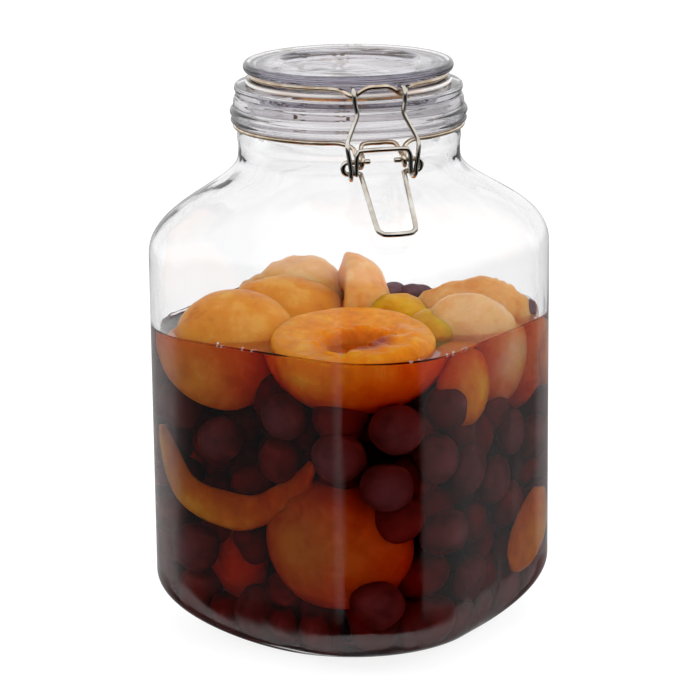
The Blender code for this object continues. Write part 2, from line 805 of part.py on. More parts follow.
def slice_turn(outward, back):
    """Rotation that lays a slice flat on a wall, with its round back towards a direction."""
    outward = Vector(outward).normalized()
    back = Vector(back)
    back = (back - outward * back.dot(outward)).normalized()
    side = outward.cross(back)
    return Matrix((side, outward, back)).transposed().to_4x4()


def cherry_place(degrees, depth, height):
    """Middle of a cherry behind the wall. A height of less than zero is below the liquid's level."""
    angle = math.radians(degrees)
    level = height * inner_half_side + (liquid_level_z if height < 0 else base_thickness)
    reach = body_half_side * 2
    for step in range(8):
        below = math.pi / 2 * step / 8
        half_side, corner = inner_size_at(max(level - cherry_radius * math.sin(below), base_thickness))
        inset = (cherry_radius + 2 * fruit_gap) * math.cos(below) + depth * inner_half_side
        reach = min(reach, squared_radius(angle, half_side - inset, max(corner - inset, 0.0)))
    return Vector((reach * math.cos(angle), reach * math.sin(angle), level))


def pocket_object(name, shapes, material):
    """A hidden solid: fruit shapes that don't meet, grown by the gap round them."""
    grown = bmesh.new()
    for shape in shapes:
        shape.normal_update()
        offset = {}
        for vertex in shape.verts:
            place = vertex.co + vertex.normal * fruit_gap * vertex.calc_shell_factor()
            offset[vertex] = grown.verts.new(place)
        for face in shape.faces:
            grown.faces.new([offset[vertex] for vertex in face.verts])
    pocket = mesh_object(name, grown, material)
    pocket.hide_render = True
    pocket.display_type = "WIRE"
    return pocket


def build_liquid(juice, pockets):
    """Juice up to its level, hollowed where the fruit lies in it."""
    levels = []
    for half_side, corner, height in reversed(inner_base_levels()):
        levels.append((half_side - liquid_gap, corner - liquid_gap, height + liquid_gap))
    levels.append((inner_half_side - liquid_gap, inner_corner_radius - liquid_gap, liquid_level_z))
    rings = [section_ring(*level) for level in levels]
    floor_z = base_thickness + liquid_gap
    thing = mesh_object("liquid", loft(rings, start=floor_z, end=liquid_level_z), juice)
    for pocket in pockets:
        cut_out(thing, pocket)
    return thing


def build_all():
    clear_scene()
    glass = make_material("clear_glass", (0.93, 0.95, 0.95), 0.03, transmission=1.0, ior=1.5)
    steel = make_material("bright_steel", (0.74, 0.73, 0.70), 0.18, metallic=1.0)
    rubber = make_material("pale_rubber", (0.80, 0.76, 0.72), 0.5)
    juice = make_material("dark_syrup", (0.23, 0.02, 0.03), 0.05, transmission=0.6, ior=1.36)
    flesh = make_material("peach_flesh", (0.80, 0.38, 0.08), 0.35)
    skin = make_material("cherry_skin", (0.09, 0.01, 0.02), 0.25)
    build_jar(glass)
    build_lid(glass)
    build_gasket(rubber)
    build_neck_wire(steel)
    build_lid_wire(steel)
    lever = build_lever(steel)
    move_origin(lever, at_latch(pivot_out, 0, pivot_z))
    link = build_link(steel)
    move_origin(link, at_latch(link_pivot_out, 0, link_pivot_z))
    pockets = build_fruit(flesh, skin)
    build_liquid(juice, pockets)


build_all()
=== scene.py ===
"""Looks of the canning jar: glass, syrup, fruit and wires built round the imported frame."""

import random
from math import asin, atan2, cos, exp, hypot, pi, radians, sin, sqrt, tan

import bmesh
import bpy
from mathutils import Matrix, Vector, noise


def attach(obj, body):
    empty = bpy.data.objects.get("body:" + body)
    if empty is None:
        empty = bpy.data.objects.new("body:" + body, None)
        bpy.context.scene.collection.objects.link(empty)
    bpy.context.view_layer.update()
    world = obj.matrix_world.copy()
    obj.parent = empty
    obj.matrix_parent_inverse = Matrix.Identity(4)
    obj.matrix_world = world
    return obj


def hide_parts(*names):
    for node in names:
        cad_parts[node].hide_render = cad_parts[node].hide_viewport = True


# Body of the jar, in metres, as in the CAD
BODY_SIDE = 0.0829
BODY_CORNER = 0.0487
SHOULDER_LOW = 0.1865
SHOULDER_TOP = 0.2330
CROWN_HANDLE = 0.0252
ROOT_HANDLE = 0.0163
FOOT = 0.0615
HOLLOW_FOOT = 0.0655
FOOT_ROUND = 0.0296
BASE_FULLNESS = 1.72
PUNT = 0.002
FLOOR_Z = 0.007
WALL = 0.004
HOLLOW_SIDE = BODY_SIDE - WALL
HOLLOW_CORNER = BODY_CORNER - WALL
NECK = 0.0528
NECK_WALL = 0.0048
GROOVE_Z = 0.2466
LIP_Z = 0.2660
LEVEL_Z = 0.1510

# Latch and hinge, as in the CAD
LATCH = radians(-42.8)
PIVOT_OUT = 0.0613
PIVOT_Z = 0.2395
LINK_OUT = 0.0610
LINK_Z = 0.2341
HINGE_OUT = 0.0615
HINGE_Z = 0.2580
WIRE = 0.0011
LEVER_WIRE = 0.0012
GAP = 0.0003
EYE_RADIUS = LEVER_WIRE + WIRE + GAP + 0.00005
LINK_EAR = 0.0141
LID_WIRE_Z = 0.27035
ARCH_WIDTH = 0.0120

# The photo's camera, fitted to the outline of the jar
CAMERA_PLACE = (0.80607, -1.24125, 0.51865)
CAMERA_TURN = radians(33.0)
CAMERA_PITCH = 0.25338
CAMERA_ROLL = -0.01075
CAMERA_LENS = 162.53
CAMERA_SHIFT = (-0.0018, -0.00154)

# Fineness of the meshes
AROUND = 192
LID_AROUND = 160
BASE_STEPS = 22
SHOULDER_STEPS = 30
WALL_STEPS = 8
WIRE_SIDES = 20
WIRE_STEP = 0.0007

# Headings of the studio's front and of its brighter side
FRONT = radians(-46.0)
BRIGHT_SIDE = radians(20.0)
# The studio as polished surfaces mirror it near the horizon: azimuth in degrees, brightness
MIRRORED = [
    (-180, 0.45), (-160, 0.28), (-140, 0.10), (-127, 0.06), (-106, 0.06), (-103, 0.24), (-95, 0.24), (-93, 0.0),
    (-2, 0.0), (0, 0.17), (57, 0.18), (66, 0.20), (90, 0.30), (120, 0.40), (180, 0.45),
]
# Light on what is behind the glass, from below the horizon and from above, and on its darker and its brighter side
LOW_LIGHT = 0.6
HIGH_LIGHT = 1.6
DARK_SIDE_SHARE = 0.65
BRIGHT_SIDE_SHARE = 1.5
# Light on other rough surfaces
OUTSIDE_LIGHT = 0.8
# The floor's own glow as the eye sees it, and as rough surfaces are lit by it
FLOOR_SEEN = 0.84
FLOOR_LIGHT = 0.52
# The point that the lamps are turned to
LAMPS_AIM = (0, 0, 0.15)

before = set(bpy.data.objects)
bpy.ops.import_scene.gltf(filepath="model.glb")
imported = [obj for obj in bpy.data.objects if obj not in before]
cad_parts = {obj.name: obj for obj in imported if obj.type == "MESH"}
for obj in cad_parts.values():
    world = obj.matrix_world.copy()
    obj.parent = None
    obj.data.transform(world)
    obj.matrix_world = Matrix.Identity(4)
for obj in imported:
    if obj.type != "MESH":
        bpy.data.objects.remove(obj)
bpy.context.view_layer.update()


def new_tree(name):
    material = bpy.data.materials.new(name)
    material.use_nodes = True
    tree = material.node_tree
    return material, tree, tree.nodes["Principled BSDF"]


def feed(tree, node, inputs):
    """A node's inputs, given as values or as sockets to link."""
    for key, value in inputs.items():
        if isinstance(value, bpy.types.NodeSocket):
            tree.links.new(value, node.inputs[key])
        else:
            node.inputs[key].default_value = value


def add(tree, kind, inputs=None, **settings):
    node = tree.nodes.new(f"ShaderNode{kind}")
    for key, value in settings.items():
        setattr(node, key, value)
    feed(tree, node, inputs or {})
    return node


def math_node(tree, operation, *values, clamp=False):
    return add(tree, "Math", dict(enumerate(values)), operation=operation, use_clamp=clamp).outputs[0]


def product(tree, first, *others):
    for other in others:
        first = math_node(tree, "MULTIPLY", first, other)
    return first


def map_range(tree, value, start, end, low=0.0, high=1.0, smooth=False):
    """A value carried from start and end to low and high, and held there beyond them."""
    inputs = {"Value": value, "From Min": start, "From Max": end, "To Min": low, "To Max": high}
    kind = "SMOOTHSTEP" if smooth else "LINEAR"
    return add(tree, "MapRange", inputs, interpolation_type=kind).outputs[0]


def mix_value(tree, factor, first, second):
    return add(tree, "Mix", {0: factor, 2: first, 3: second}, data_type="FLOAT").outputs[0]


def own_place(tree):
    return add(tree, "TexCoord").outputs["Object"]


def flat_length(tree, x, y):
    flat = add(tree, "CombineXYZ", {"X": x, "Y": y})
    return add(tree, "VectorMath", {0: flat.outputs[0]}, operation="LENGTH").outputs["Value"]


def clouds(tree, place, scale, detail, roughness=0.5):
    inputs = {"Vector": place, "Scale": scale, "Detail": detail, "Roughness": roughness}
    return add(tree, "TexNoise", inputs).outputs[0]


def ramp(tree, factor, stops, mode="EASE"):
    node = add(tree, "ValToRGB")
    node.color_ramp.interpolation = mode
    elements = node.color_ramp.elements
    while len(elements) < len(stops):
        elements.new(0.5)
    for element, (place, colour) in zip(elements, stops):
        element.position = place
        element.color = (*colour, 1.0)
    feed(tree, node, {0: factor})
    return node.outputs[0]


def mix_colour(tree, factor, first, second, blend="MIX"):
    first, second = [(*colour, 1.0) if isinstance(colour, tuple) else colour for colour in (first, second)]
    inputs = {0: factor, 6: first, 7: second}
    return add(tree, "Mix", inputs, data_type="RGBA", blend_type=blend).outputs[2]


def bump(tree, shader, height, strength, distance):
    node = add(tree, "Bump", {"Strength": strength, "Distance": distance, "Height": height})
    feed(tree, shader, {"Normal": node.outputs[0]})


def clear_material(name, bending, absorption, density):
    """A see-through material whose depth takes colour away."""
    material, tree, shader = new_tree(name)
    feed(tree, shader, {"Base Color": (1, 1, 1, 1), "Roughness": 0.0, "IOR": bending, "Transmission Weight": 1.0})
    volume = add(tree, "VolumeAbsorption", {"Color": (*absorption, 1.0), "Density": density})
    feed(tree, tree.nodes["Material Output"], {"Volume": volume.outputs[0]})
    return material, tree, shader


def glass_material(name, absorption, density, wave_scale, wave_depth, painted_shade_colour):
    """Slightly wavy pressed glass, darkened from the collar up by painted shade, with fine level streaks in that shade.
    """
    material, tree, shader = clear_material(name, 1.5, absorption, density)
    place = own_place(tree)
    stretched = add(tree, "Mapping", {"Vector": place, "Scale": (1.0, 1.0, 0.35)}).outputs[0]
    bump(tree, shader, clouds(tree, stretched, wave_scale, 2.0, 0.4), 1.0, wave_depth)
    height = add(tree, "SeparateXYZ", {"Vector": place}).outputs[2]
    # Painted shade: the glass colour is darkened from the collar up, in fine level streaks
    collar = map_range(tree, height, 0.2455, 0.2475)
    level_lines = add(tree, "Mapping", {"Vector": place, "Scale": (14.0, 14.0, 300.0)}).outputs[0]
    shade = map_range(tree, clouds(tree, level_lines, 1.0, 2.0), 0.40, 0.56, 0.74, 1.0)
    shaded = mix_colour(tree, shade, (0.0, 0.0, 0.0), painted_shade_colour)
    feed(tree, shader, {"Base Color": mix_colour(tree, collar, (1.0, 1.0, 1.0), shaded)})
    return material


def syrup_material():
    material, tree, shader = clear_material("syrup", 1.34, (0.92, 0.41, 0.22), 100.0)
    bump(tree, shader, clouds(tree, own_place(tree), 60.0, 1.0), 1.0, 0.0002)
    return material


def steel_material(name, dark, light):
    material, tree, shader = new_tree(name)
    cloud = clouds(tree, own_place(tree), 160.0, 3.0)
    tint = ramp(tree, cloud, [(0.3, dark), (0.7, light)])
    feed(tree, shader, {"Metallic": 1.0, "Base Color": tint, "Roughness": map_range(tree, cloud, 0.0, 1.0, 0.06, 0.16)})
    return material


def soften(tree, shader, weight, radius):
    """Light that spreads under a surface."""
    feed(tree, shader, {"Subsurface Weight": weight, "Subsurface Radius": radius, "Subsurface Scale": 1.0})


def rubber_material():
    material, tree, shader = new_tree("pale_rubber")
    cloud = clouds(tree, own_place(tree), 26.0, 3.0)
    stops = [(0.30, (0.78, 0.64, 0.56)), (0.50, (0.82, 0.77, 0.75)), (0.8, (0.86, 0.84, 0.83))]
    feed(tree, shader, {"Base Color": ramp(tree, cloud, stops), "Roughness": 0.35})
    soften(tree, shader, 0.3, (0.004, 0.002, 0.001))
    bump(tree, shader, cloud, 0.3, 0.0002)
    return material


def peach_material(name, deep, mid, pale, pit, low_reddening=0.0):
    """Wet peach flesh: patches, fibres, a darker stone cavity with red threads, and a reddened lower back."""
    material, tree, shader = new_tree(name)
    place = own_place(tree)
    x, y, height = add(tree, "SeparateXYZ", {"Vector": place}).outputs
    radius = flat_length(tree, x, y)
    angle = math_node(tree, "ARCTAN2", y, x)
    base = ramp(tree, clouds(tree, place, 60.0, 5.0, 0.62), [(0.34, deep), (0.50, mid), (0.66, pale)])
    spokes = add(tree, "CombineXYZ", {"X": product(tree, angle, 6.0), "Y": product(tree, radius, 90.0)})
    threads = clouds(tree, spokes.outputs[0], 1.6, 3.0, 0.6)
    fibre = ramp(tree, threads, [(0.35, (0.80, 0.74, 0.66)), (0.65, (1.0, 1.0, 1.0))])
    on_cut = map_range(tree, height, -0.010, -0.001)
    base = mix_colour(tree, product(tree, on_cut, 0.5), base, fibre, "MULTIPLY")
    # The lower back turns darker and redder towards the bottom
    low_red_mask = product(tree, map_range(tree, height, -0.019, -0.034), low_reddening)
    base = mix_colour(tree, low_red_mask, base, (0.50, 0.05, 0.006))
    halo = product(tree, map_range(tree, radius, 0.0270, 0.0150), on_cut, product(tree, threads, 1.1))
    base = mix_colour(tree, halo, base, (deep[0], deep[1] * 0.75, deep[2] * 0.5))
    in_pit = product(tree, map_range(tree, radius, 0.0185, 0.0110), math_node(tree, "ADD", threads, 0.45))
    in_pit = math_node(tree, "MULTIPLY", in_pit, on_cut, clamp=True)
    base = mix_colour(tree, in_pit, base, pit)
    feed(tree, shader, {"Base Color": base, "Roughness": 0.30, "Specular IOR Level": 0.10})
    soften(tree, shader, 0.7, (0.030, 0.011, 0.002) if low_reddening else (0.020, 0.009, 0.002))
    fine = product(tree, clouds(tree, place, 260.0, 3.0), 0.5)
    bump(tree, shader, math_node(tree, "ADD", fine, threads), 0.35, 0.0008)
    return material


def cherry_material(name, dark, mid, light):
    material, tree, shader = new_tree(name)
    cloud = clouds(tree, own_place(tree), 60.0, 3.0)
    tint = ramp(tree, cloud, [(0.30, dark), (0.55, mid), (0.78, light)])
    feed(tree, shader, {"Base Color": tint, "Roughness": 0.55, "Specular IOR Level": 0.02})
    bump(tree, shader, cloud, 0.3, 0.0004)
    return material


def froth_material():
    material, tree, shader = new_tree("froth")
    cloud = clouds(tree, own_place(tree), 90.0, 1.0)
    tint = ramp(tree, cloud, [(0.35, (0.80, 0.50, 0.42)), (0.65, (0.92, 0.82, 0.78))])
    feed(tree, shader, {"Base Color": tint, "Roughness": 0.15})
    return material


def put(name, data):
    thing = bpy.data.objects.new(name, data)
    bpy.context.scene.collection.objects.link(thing)
    return thing


def mesh_piece(name, shell, material, body, nodes=(), place=None, smooth_angle=60):
    """A piece made of a shell's vertices and faces, that rides on a body and stands for its CAD nodes."""
    vertices, faces = shell
    mesh = bpy.data.meshes.new(name)
    mesh.from_pydata(vertices, [], faces)
    mesh.validate()
    shape = bmesh.new()
    shape.from_mesh(mesh)
    bmesh.ops.recalc_face_normals(shape, faces=shape.faces)
    shape.to_mesh(mesh)
    shape.free()
    mesh.shade_smooth()
    if smooth_angle:
        mesh.set_sharp_from_angle(angle=radians(smooth_angle))
    mesh.materials.append(material)
    piece = put(name, mesh)
    if place is not None:
        piece.matrix_world = place
    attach(piece, body)
    if nodes:
        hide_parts(*nodes)


def squared_radius(angle, side, corner):
    """The distance from the axis, at an angle, of a square whose corners are rounded."""
    quarter = pi / 2
    turn = abs((angle + quarter / 2) % quarter - quarter / 2)
    middle = side - corner
    if side * tan(turn) <= middle:
        return side / cos(turn)
    along = middle * (cos(turn) + sin(turn))
    return along + sqrt(along * along - 2 * middle * middle + corner**2)


def at_angle(angle, reach, height):
    return Vector((reach * cos(angle), reach * sin(angle), height))


def section_ring(side, corner, height, count=AROUND):
    points = []
    for step in range(count):
        angle = 2 * pi * step / count
        reach = squared_radius(angle, side, corner)
        points.append((reach * cos(angle), reach * sin(angle), height))
    return points


def round_rings(run, count=AROUND):
    return [section_ring(radius, radius, height, count) for radius, height in run]


def level_rings(levels):
    return [section_ring(*level) for level in levels]


def wall_rings(side, corner, start, end):
    heights = [start + (end - start) * step / WALL_STEPS for step in range(1, WALL_STEPS)]
    return level_rings([(side, corner, height) for height in heights])


def skin(rings, first_pole=None, last_pole=None):
    """Vertices and faces over a run of equal rings, closed by poles on the axis or by wrapping."""
    count = len(rings[0])
    vertices = [point for ring in rings for point in ring]
    faces = []
    pairs = [(k, k + 1) for k in range(len(rings) - 1)]
    if first_pole is None:
        pairs.append((len(rings) - 1, 0))
    for low, high in pairs:
        for k in range(count):
            n = (k + 1) % count
            faces.append((low * count + k, low * count + n, high * count + n, high * count + k))
    for pole, row in ((first_pole, 0), (last_pole, len(rings) - 1)):
        if pole is not None:
            vertices.append(pole)
            for k in range(count):
                faces.append((row * count + k, row * count + (k + 1) % count, len(vertices) - 1))
    return vertices, faces


def shoulder_levels(side, corner, top, shift):
    """Sides, corners and heights from the neck down to the straight wall."""
    levels = []
    for step in range(SHOULDER_STEPS + 1):
        u = step / SHOULDER_STEPS
        spread = 3 * u * u * (1 - u) + u**3
        height = (
            (1 - u) ** 3 * SHOULDER_TOP
            + 3 * u * (1 - u) ** 2 * (SHOULDER_TOP - ROOT_HANDLE)
            + 3 * u * u * (1 - u) * (SHOULDER_LOW + CROWN_HANDLE)
            + u**3 * SHOULDER_LOW
        )
        levels.append((top + (side - top) * spread, top + (corner - top) * spread, height - shift))
    return levels


def drawn_in(side, corner, foot, up):
    """Side and corner in the rounded foot, where the cosine round it is up."""
    inward = 1 - up**BASE_FULLNESS
    return side + (foot - side) * inward, corner + (foot - corner) * inward


def base_levels(side, corner, foot, height, floor):
    """Sides, corners and heights from the straight wall down round the foot."""
    levels = []
    for step in range(BASE_STEPS + 1):
        turn = pi / 2 * step / BASE_STEPS
        levels.append((*drawn_in(side, corner, foot, cos(turn)), floor + height * (1 - sin(turn))))
    return levels


def smooth_run(points, pieces=None, closed=False):
    """A Catmull-Rom run through points of any size, each span cut in pieces or else into wire steps."""
    count = len(points)
    fine = []
    for k in range(count if closed else count - 1):
        near = [(k + j) % count if closed else min(max(k + j, 0), count - 1) for j in (-1, 0, 1, 2)]
        a, b, c, d = [points[j] for j in near]
        cuts = pieces or max(1, round((c - b).length / WIRE_STEP))
        for j in range(cuts):
            u = j / cuts
            fine.append(
                tuple(
                    q + (r - p) * u / 2 + (2 * p - 5 * q + 4 * r - s) * u * u / 2 + (3 * q - p - 3 * r + s) * u**3 / 2
                    for p, q, r, s in zip(a, b, c, d)
                )
            )
    return fine if closed else fine + [points[-1]]


def build_jar(glass):
    outside = [
        (NECK, 0.2345), (NECK, 0.2375), (NECK + 0.0004, 0.2405), (NECK + 0.0002, 0.2440),
        (NECK - 0.0002, 0.2462), (NECK, 0.2478), (0.0545, 0.2481), (0.0558, 0.2486), (0.0560, 0.2494),
        (0.0556, 0.2504), (0.0557, 0.2514), (0.0562, 0.2523), (0.0564, 0.2532), (0.0561, 0.2543),
        (0.0551, 0.2554), (0.0548, 0.2568), (0.0547, 0.2582), (0.0544, 0.2596), (0.0536, 0.2611),
        (0.0537, 0.2625), (0.0542, 0.2640), (0.0541, 0.2652), (0.0533, 0.2659), (0.0520, 0.2660),
    ]
    inside = [
        (0.0455, 0.2660), (0.0443, 0.2659), (0.0438, 0.2652), (0.0440, 0.2635), (0.0447, 0.2612),
        (0.0462, 0.2585), (0.0476, 0.2560), (0.0480, 0.2530), (0.0480, 0.2430), (0.0480, 0.2330),
    ]
    underside = [(0.030, PUNT), (0.048, PUNT), (0.0520, 0.0012), (0.0537, 0.0002), (0.0560, 0.0)]
    rings = round_rings(smooth_run(underside, 3))
    rings += level_rings(reversed(base_levels(BODY_SIDE, BODY_CORNER, FOOT, FOOT_ROUND, 0.0)))
    rings += wall_rings(BODY_SIDE, BODY_CORNER, FOOT_ROUND, SHOULDER_LOW)
    rings += level_rings(reversed(shoulder_levels(BODY_SIDE, BODY_CORNER, NECK, 0.0)))
    rings += round_rings(smooth_run(outside, 4) + smooth_run(inside, 4))
    rings += level_rings(shoulder_levels(HOLLOW_SIDE, HOLLOW_CORNER, NECK - NECK_WALL, WALL / 2))
    rings += wall_rings(HOLLOW_SIDE, HOLLOW_CORNER, SHOULDER_LOW - WALL / 2, FLOOR_Z + FOOT_ROUND - WALL)
    rings += level_rings(base_levels(HOLLOW_SIDE, HOLLOW_CORNER, HOLLOW_FOOT, FOOT_ROUND - WALL, FLOOR_Z))
    shell = skin(rings, (0, 0, PUNT), (0, 0, FLOOR_Z))
    mesh_piece("jar_glass", shell, glass, "jar", ("glass_jar",), smooth_angle=None)


def build_lid(glass):
    underside, dish = 0.2624, 0.2737
    profile = [
        (0.0, underside), (0.030, underside), (0.0385, 0.2625), (0.0410, 0.2632), (0.0428, 0.2648), (0.0432, 0.2665),
        (0.0432, 0.2680), (0.0440, 0.26838), (0.0478, 0.26838), (0.0485, 0.2686), (0.0482, 0.26885),
        (0.0458, 0.2690), (0.0452, 0.2695), (0.0451, 0.2704), (0.0453, 0.2713), (0.0462, 0.2718),
        (0.0480, 0.2719), (0.0492, 0.2725), (0.0498, 0.2738), (0.0497, 0.2752), (0.0490, 0.2762),
        (0.0478, 0.2766), (0.0440, 0.2766), (0.0365, 0.2766), (0.0347, 0.2764), (0.0325, 0.2756),
        (0.0300, 0.2745), (0.0270, 0.2739), (0.0240, 0.2737), (0.0120, dish), (0.0, dish),
    ]
    # The two ends on the axis shape the run, and poles take their place
    run = [point for point in smooth_run(profile, 4) if point[0] > 1e-5]
    shell = skin(round_rings(run, LID_AROUND), (0, 0, underside), (0, 0, dish))
    mesh_piece("lid_glass", shell, glass, "lid", ("glass_lid",), smooth_angle=None)


def build_gasket(rubber):
    thickness = 0.0018
    low, high = LIP_Z + GAP, LIP_Z + GAP + thickness
    profile = [
        (0.0442, low + 0.0003), (0.0446, low), (0.0480, low), (0.0486, low + 0.0003), (0.0489, low + 0.0009),
        (0.0486, high - 0.0003), (0.0480, high), (0.0446, high), (0.0442, high - 0.0003),
    ]
    shell = skin(round_rings(smooth_run(profile, 2, closed=True), LID_AROUND))
    mesh_piece("gasket", shell, rubber, "lid", ("rubber_gasket",))


def build_syrup(material):
    """Syrup up to its level, biting into the glass so that no air shows between, with a meniscus along the wall."""
    bite = 0.0004
    side, corner, floor = HOLLOW_SIDE + bite, HOLLOW_CORNER + bite, FLOOR_Z - bite
    wall_z = 0.10
    # Distances in from the wall, and heights above the level
    meniscus = [
        (-bite, 0.0016), (0.0001, 0.0015), (0.0005, 0.0009), (0.0012, 0.0004), (0.0022, 0.0001), (0.0040, 0.0),
        (0.012, 0.0), (0.03, 0.0),
    ]
    levels = list(reversed(base_levels(side, corner, HOLLOW_FOOT, FOOT_ROUND - WALL, floor)))
    levels.append((side, corner, wall_z))
    levels += [(HOLLOW_SIDE - inset, HOLLOW_CORNER - inset, LEVEL_Z + rise) for inset, rise in meniscus]
    shell = skin(level_rings(levels), (0, 0, floor), (0, 0, LEVEL_Z))
    mesh_piece("syrup", shell, material, "jar", ("liquid",), smooth_angle=50)


def at_latch(out, across, height):
    """A point given in the latch's own upright plane and across it."""
    x = out * cos(LATCH) - across * sin(LATCH)
    y = out * sin(LATCH) + across * cos(LATCH)
    return Vector((x, y, height))


def latch_path(*spots):
    return [at_latch(*spot) for spot in spots]


def mirror_across(point):
    axis = Vector((-sin(LATCH), cos(LATCH), 0))
    return point - axis * (2 * point.dot(axis))


def tube(name, half, radius, closed, steel, body, node):
    """A round wire swept along a smooth path and its mirror image, with softly rounded cut ends."""
    points = half + [mirror_across(point) for point in reversed(half[1:] if closed else half)]
    path = [Vector(point) for point in smooth_run(points, closed=closed)]
    count = len(path)
    tangents = []
    for k in range(count):
        ahead = path[(k + 1) % count] if closed else path[min(k + 1, count - 1)]
        behind = path[k - 1] if closed else path[max(k - 1, 0)]
        tangents.append((ahead - behind).normalized())
    frames = [tangents[0].orthogonal().normalized()]
    for k in range(1, count):
        turn = tangents[k - 1].rotation_difference(tangents[k])
        normal = turn @ frames[-1]
        frames.append((normal - tangents[k] * normal.dot(tangents[k])).normalized())
    twist = 0.0
    if closed:
        turn = tangents[-1].rotation_difference(tangents[0])
        last = turn @ frames[-1]
        twist = atan2(last.cross(frames[0]).dot(tangents[0]), last.dot(frames[0]))
    rings = []
    for k, point in enumerate(path):
        side = frames[k]
        other = tangents[k].cross(side)
        ring = []
        for j in range(WIRE_SIDES):
            angle = twist * k / count + 2 * pi * j / WIRE_SIDES
            ring.append(tuple(point + (side * cos(angle) + other * sin(angle)) * radius))
        rings.append(ring)
    poles = []
    if not closed:
        for row, inward in ((0, tangents[0]), (-1, -tangents[-1])):
            centre = path[row]
            narrow = [tuple(centre + (Vector(p) - centre) * 0.72 - inward * radius * 0.28) for p in rings[row]]
            rings.insert(0 if row == 0 else len(rings), narrow)
            poles.append(tuple(centre - inward * radius * 0.34))
    mesh_piece(name, skin(rings, *poles), steel, body, (node,), smooth_angle=70)


def ring_arc(radius, height, first_across, last_across):
    first = asin(first_across / radius)
    last = pi - asin(last_across / radius)
    angles = [first + (last - first) * step / 15 for step in range(16)]
    return [at_latch(radius * cos(angle), radius * sin(angle), height) for angle in angles]


def eye(out, height, middle, pitch, first_deg, last_deg, radius):
    """A turn of wire round a point of the latch's plane, that moves across by its pitch."""
    points = []
    for step in range(9):
        share = step / 8
        angle = radians(first_deg + (last_deg - first_deg) * share)
        spot = (out + radius * cos(angle), middle + pitch * (0.5 - share), height + radius * sin(angle))
        points.append(at_latch(*spot))
    return points


def build_neck_wire(steel):
    back_radius = WIRE * 2 + GAP
    ring = NECK - GAP / 2 + WIRE + GAP
    eye_mid = 0.0102
    hook = 0.0105
    half = latch_path(
        (ring, 0, GROOVE_Z), (ring - 0.0002, 0.0045, GROOVE_Z), (ring + 0.0010, 0.0079, GROOVE_Z - 0.0006),
        (PIVOT_OUT - 0.0030, eye_mid - 0.0011, PIVOT_Z + 0.0037),
    )
    half += eye(PIVOT_OUT, PIVOT_Z, eye_mid, -0.0019, 95, -180, EYE_RADIUS)
    half += latch_path(
        (PIVOT_OUT - 0.0038, eye_mid + 0.0014, PIVOT_Z + 0.0030),
        (ring + 0.0012, eye_mid + 0.0024, GROOVE_Z - 0.0016),
    )
    half += ring_arc(ring, GROOVE_Z, 0.0175, hook + 0.0075)
    half += latch_path(
        (-ring - 0.0018, hook + 0.0026, GROOVE_Z - 0.0001),
        (-HINGE_OUT + back_radius - 0.0001, hook + 0.0015, GROOVE_Z + 0.0035),
    )
    half += eye(-HINGE_OUT, HINGE_Z, hook, 0.0026, 0, 180, back_radius)
    half += latch_path(
        (-HINGE_OUT - back_radius, hook - 0.0015, GROOVE_Z + 0.0035),
        (-HINGE_OUT + 0.0002, hook - 0.0024, GROOVE_Z - 0.0006), (-ring - 0.0016, hook - 0.0045, GROOVE_Z - 0.0002),
        (-ring - 0.0001, 0.0025, GROOVE_Z),
    )
    tube("wire_neck", half, WIRE, True, steel, "jar", "neck_wire")


def build_lid_wire(steel):
    z, hook, bar = LID_WIRE_Z, ARCH_WIDTH, 0.0150
    half = latch_path(
        (0.0558, 0, z + 0.0023), (0.0556, 0.0045, z + 0.0021), (0.0548, 0.0082, z + 0.0002),
        (0.0543, 0.0104, z - 0.0013), (0.0541, hook, z - 0.0016), (0.0526, hook + 0.0014, z - 0.0011),
        (0.0500, hook + 0.0026, z - 0.0003), (0.0462, hook + 0.0044, z),
    )
    half += ring_arc(0.0465, z, 0.0210, bar + 0.0045)
    half += latch_path(
        (-0.0478, bar + 0.0020, z), (-0.0530, bar + 0.0004, z - 0.0003), (-0.0580, bar, z - 0.0022),
        (-HINGE_OUT + 0.0002, bar, HINGE_Z + 0.0062), (-HINGE_OUT, bar, HINGE_Z + 0.0022),
        (-HINGE_OUT, bar - 0.0012, HINGE_Z + 0.0003), (-HINGE_OUT, bar - 0.0035, HINGE_Z),
        (-HINGE_OUT, 0.0050, HINGE_Z),
    )
    tube("wire_lid", half, WIRE, True, steel, "lid", "lid_wire")


def build_lever(steel):
    drop = PIVOT_Z - LINK_Z
    set_in = PIVOT_OUT - LINK_OUT
    slope, reach, bulge = radians(40.0), 0.0360, 0.8
    top, bottom, corner = 0.0102, 0.0090, 0.0042
    turn_out = LINK_EAR + 0.0023
    half = latch_path((PIVOT_OUT, 0.0060, PIVOT_Z), (PIVOT_OUT, 0.0102, PIVOT_Z), (PIVOT_OUT, turn_out, PIVOT_Z))
    for step in (1, 2, 3):
        angle = pi * step / 4
        share = (1 - cos(angle)) / 2
        across = turn_out + drop / 2 * bulge * sin(angle)
        half.append(at_latch(PIVOT_OUT - set_in * share, across, PIVOT_Z - drop * share))
    half += latch_path((LINK_OUT, turn_out, LINK_Z), (LINK_OUT, LINK_EAR, LINK_Z), (LINK_OUT, top + 0.0016, LINK_Z))
    # Down the sloping arm to the finger end
    for distance, across in (
        (0.0005, top + 0.0003), (0.0020, top), (0.5 * reach, (top + bottom) / 2), (reach - corner, bottom),
        (reach - 0.3 * corner, bottom - 0.3 * corner), (reach, bottom - corner),
    ):
        half.append(at_latch(LINK_OUT + cos(slope) * distance, across, LINK_Z - sin(slope) * distance))
    tube("wire_lever", half, LEVER_WIRE, False, steel, "latch_lever", "latch_lever")


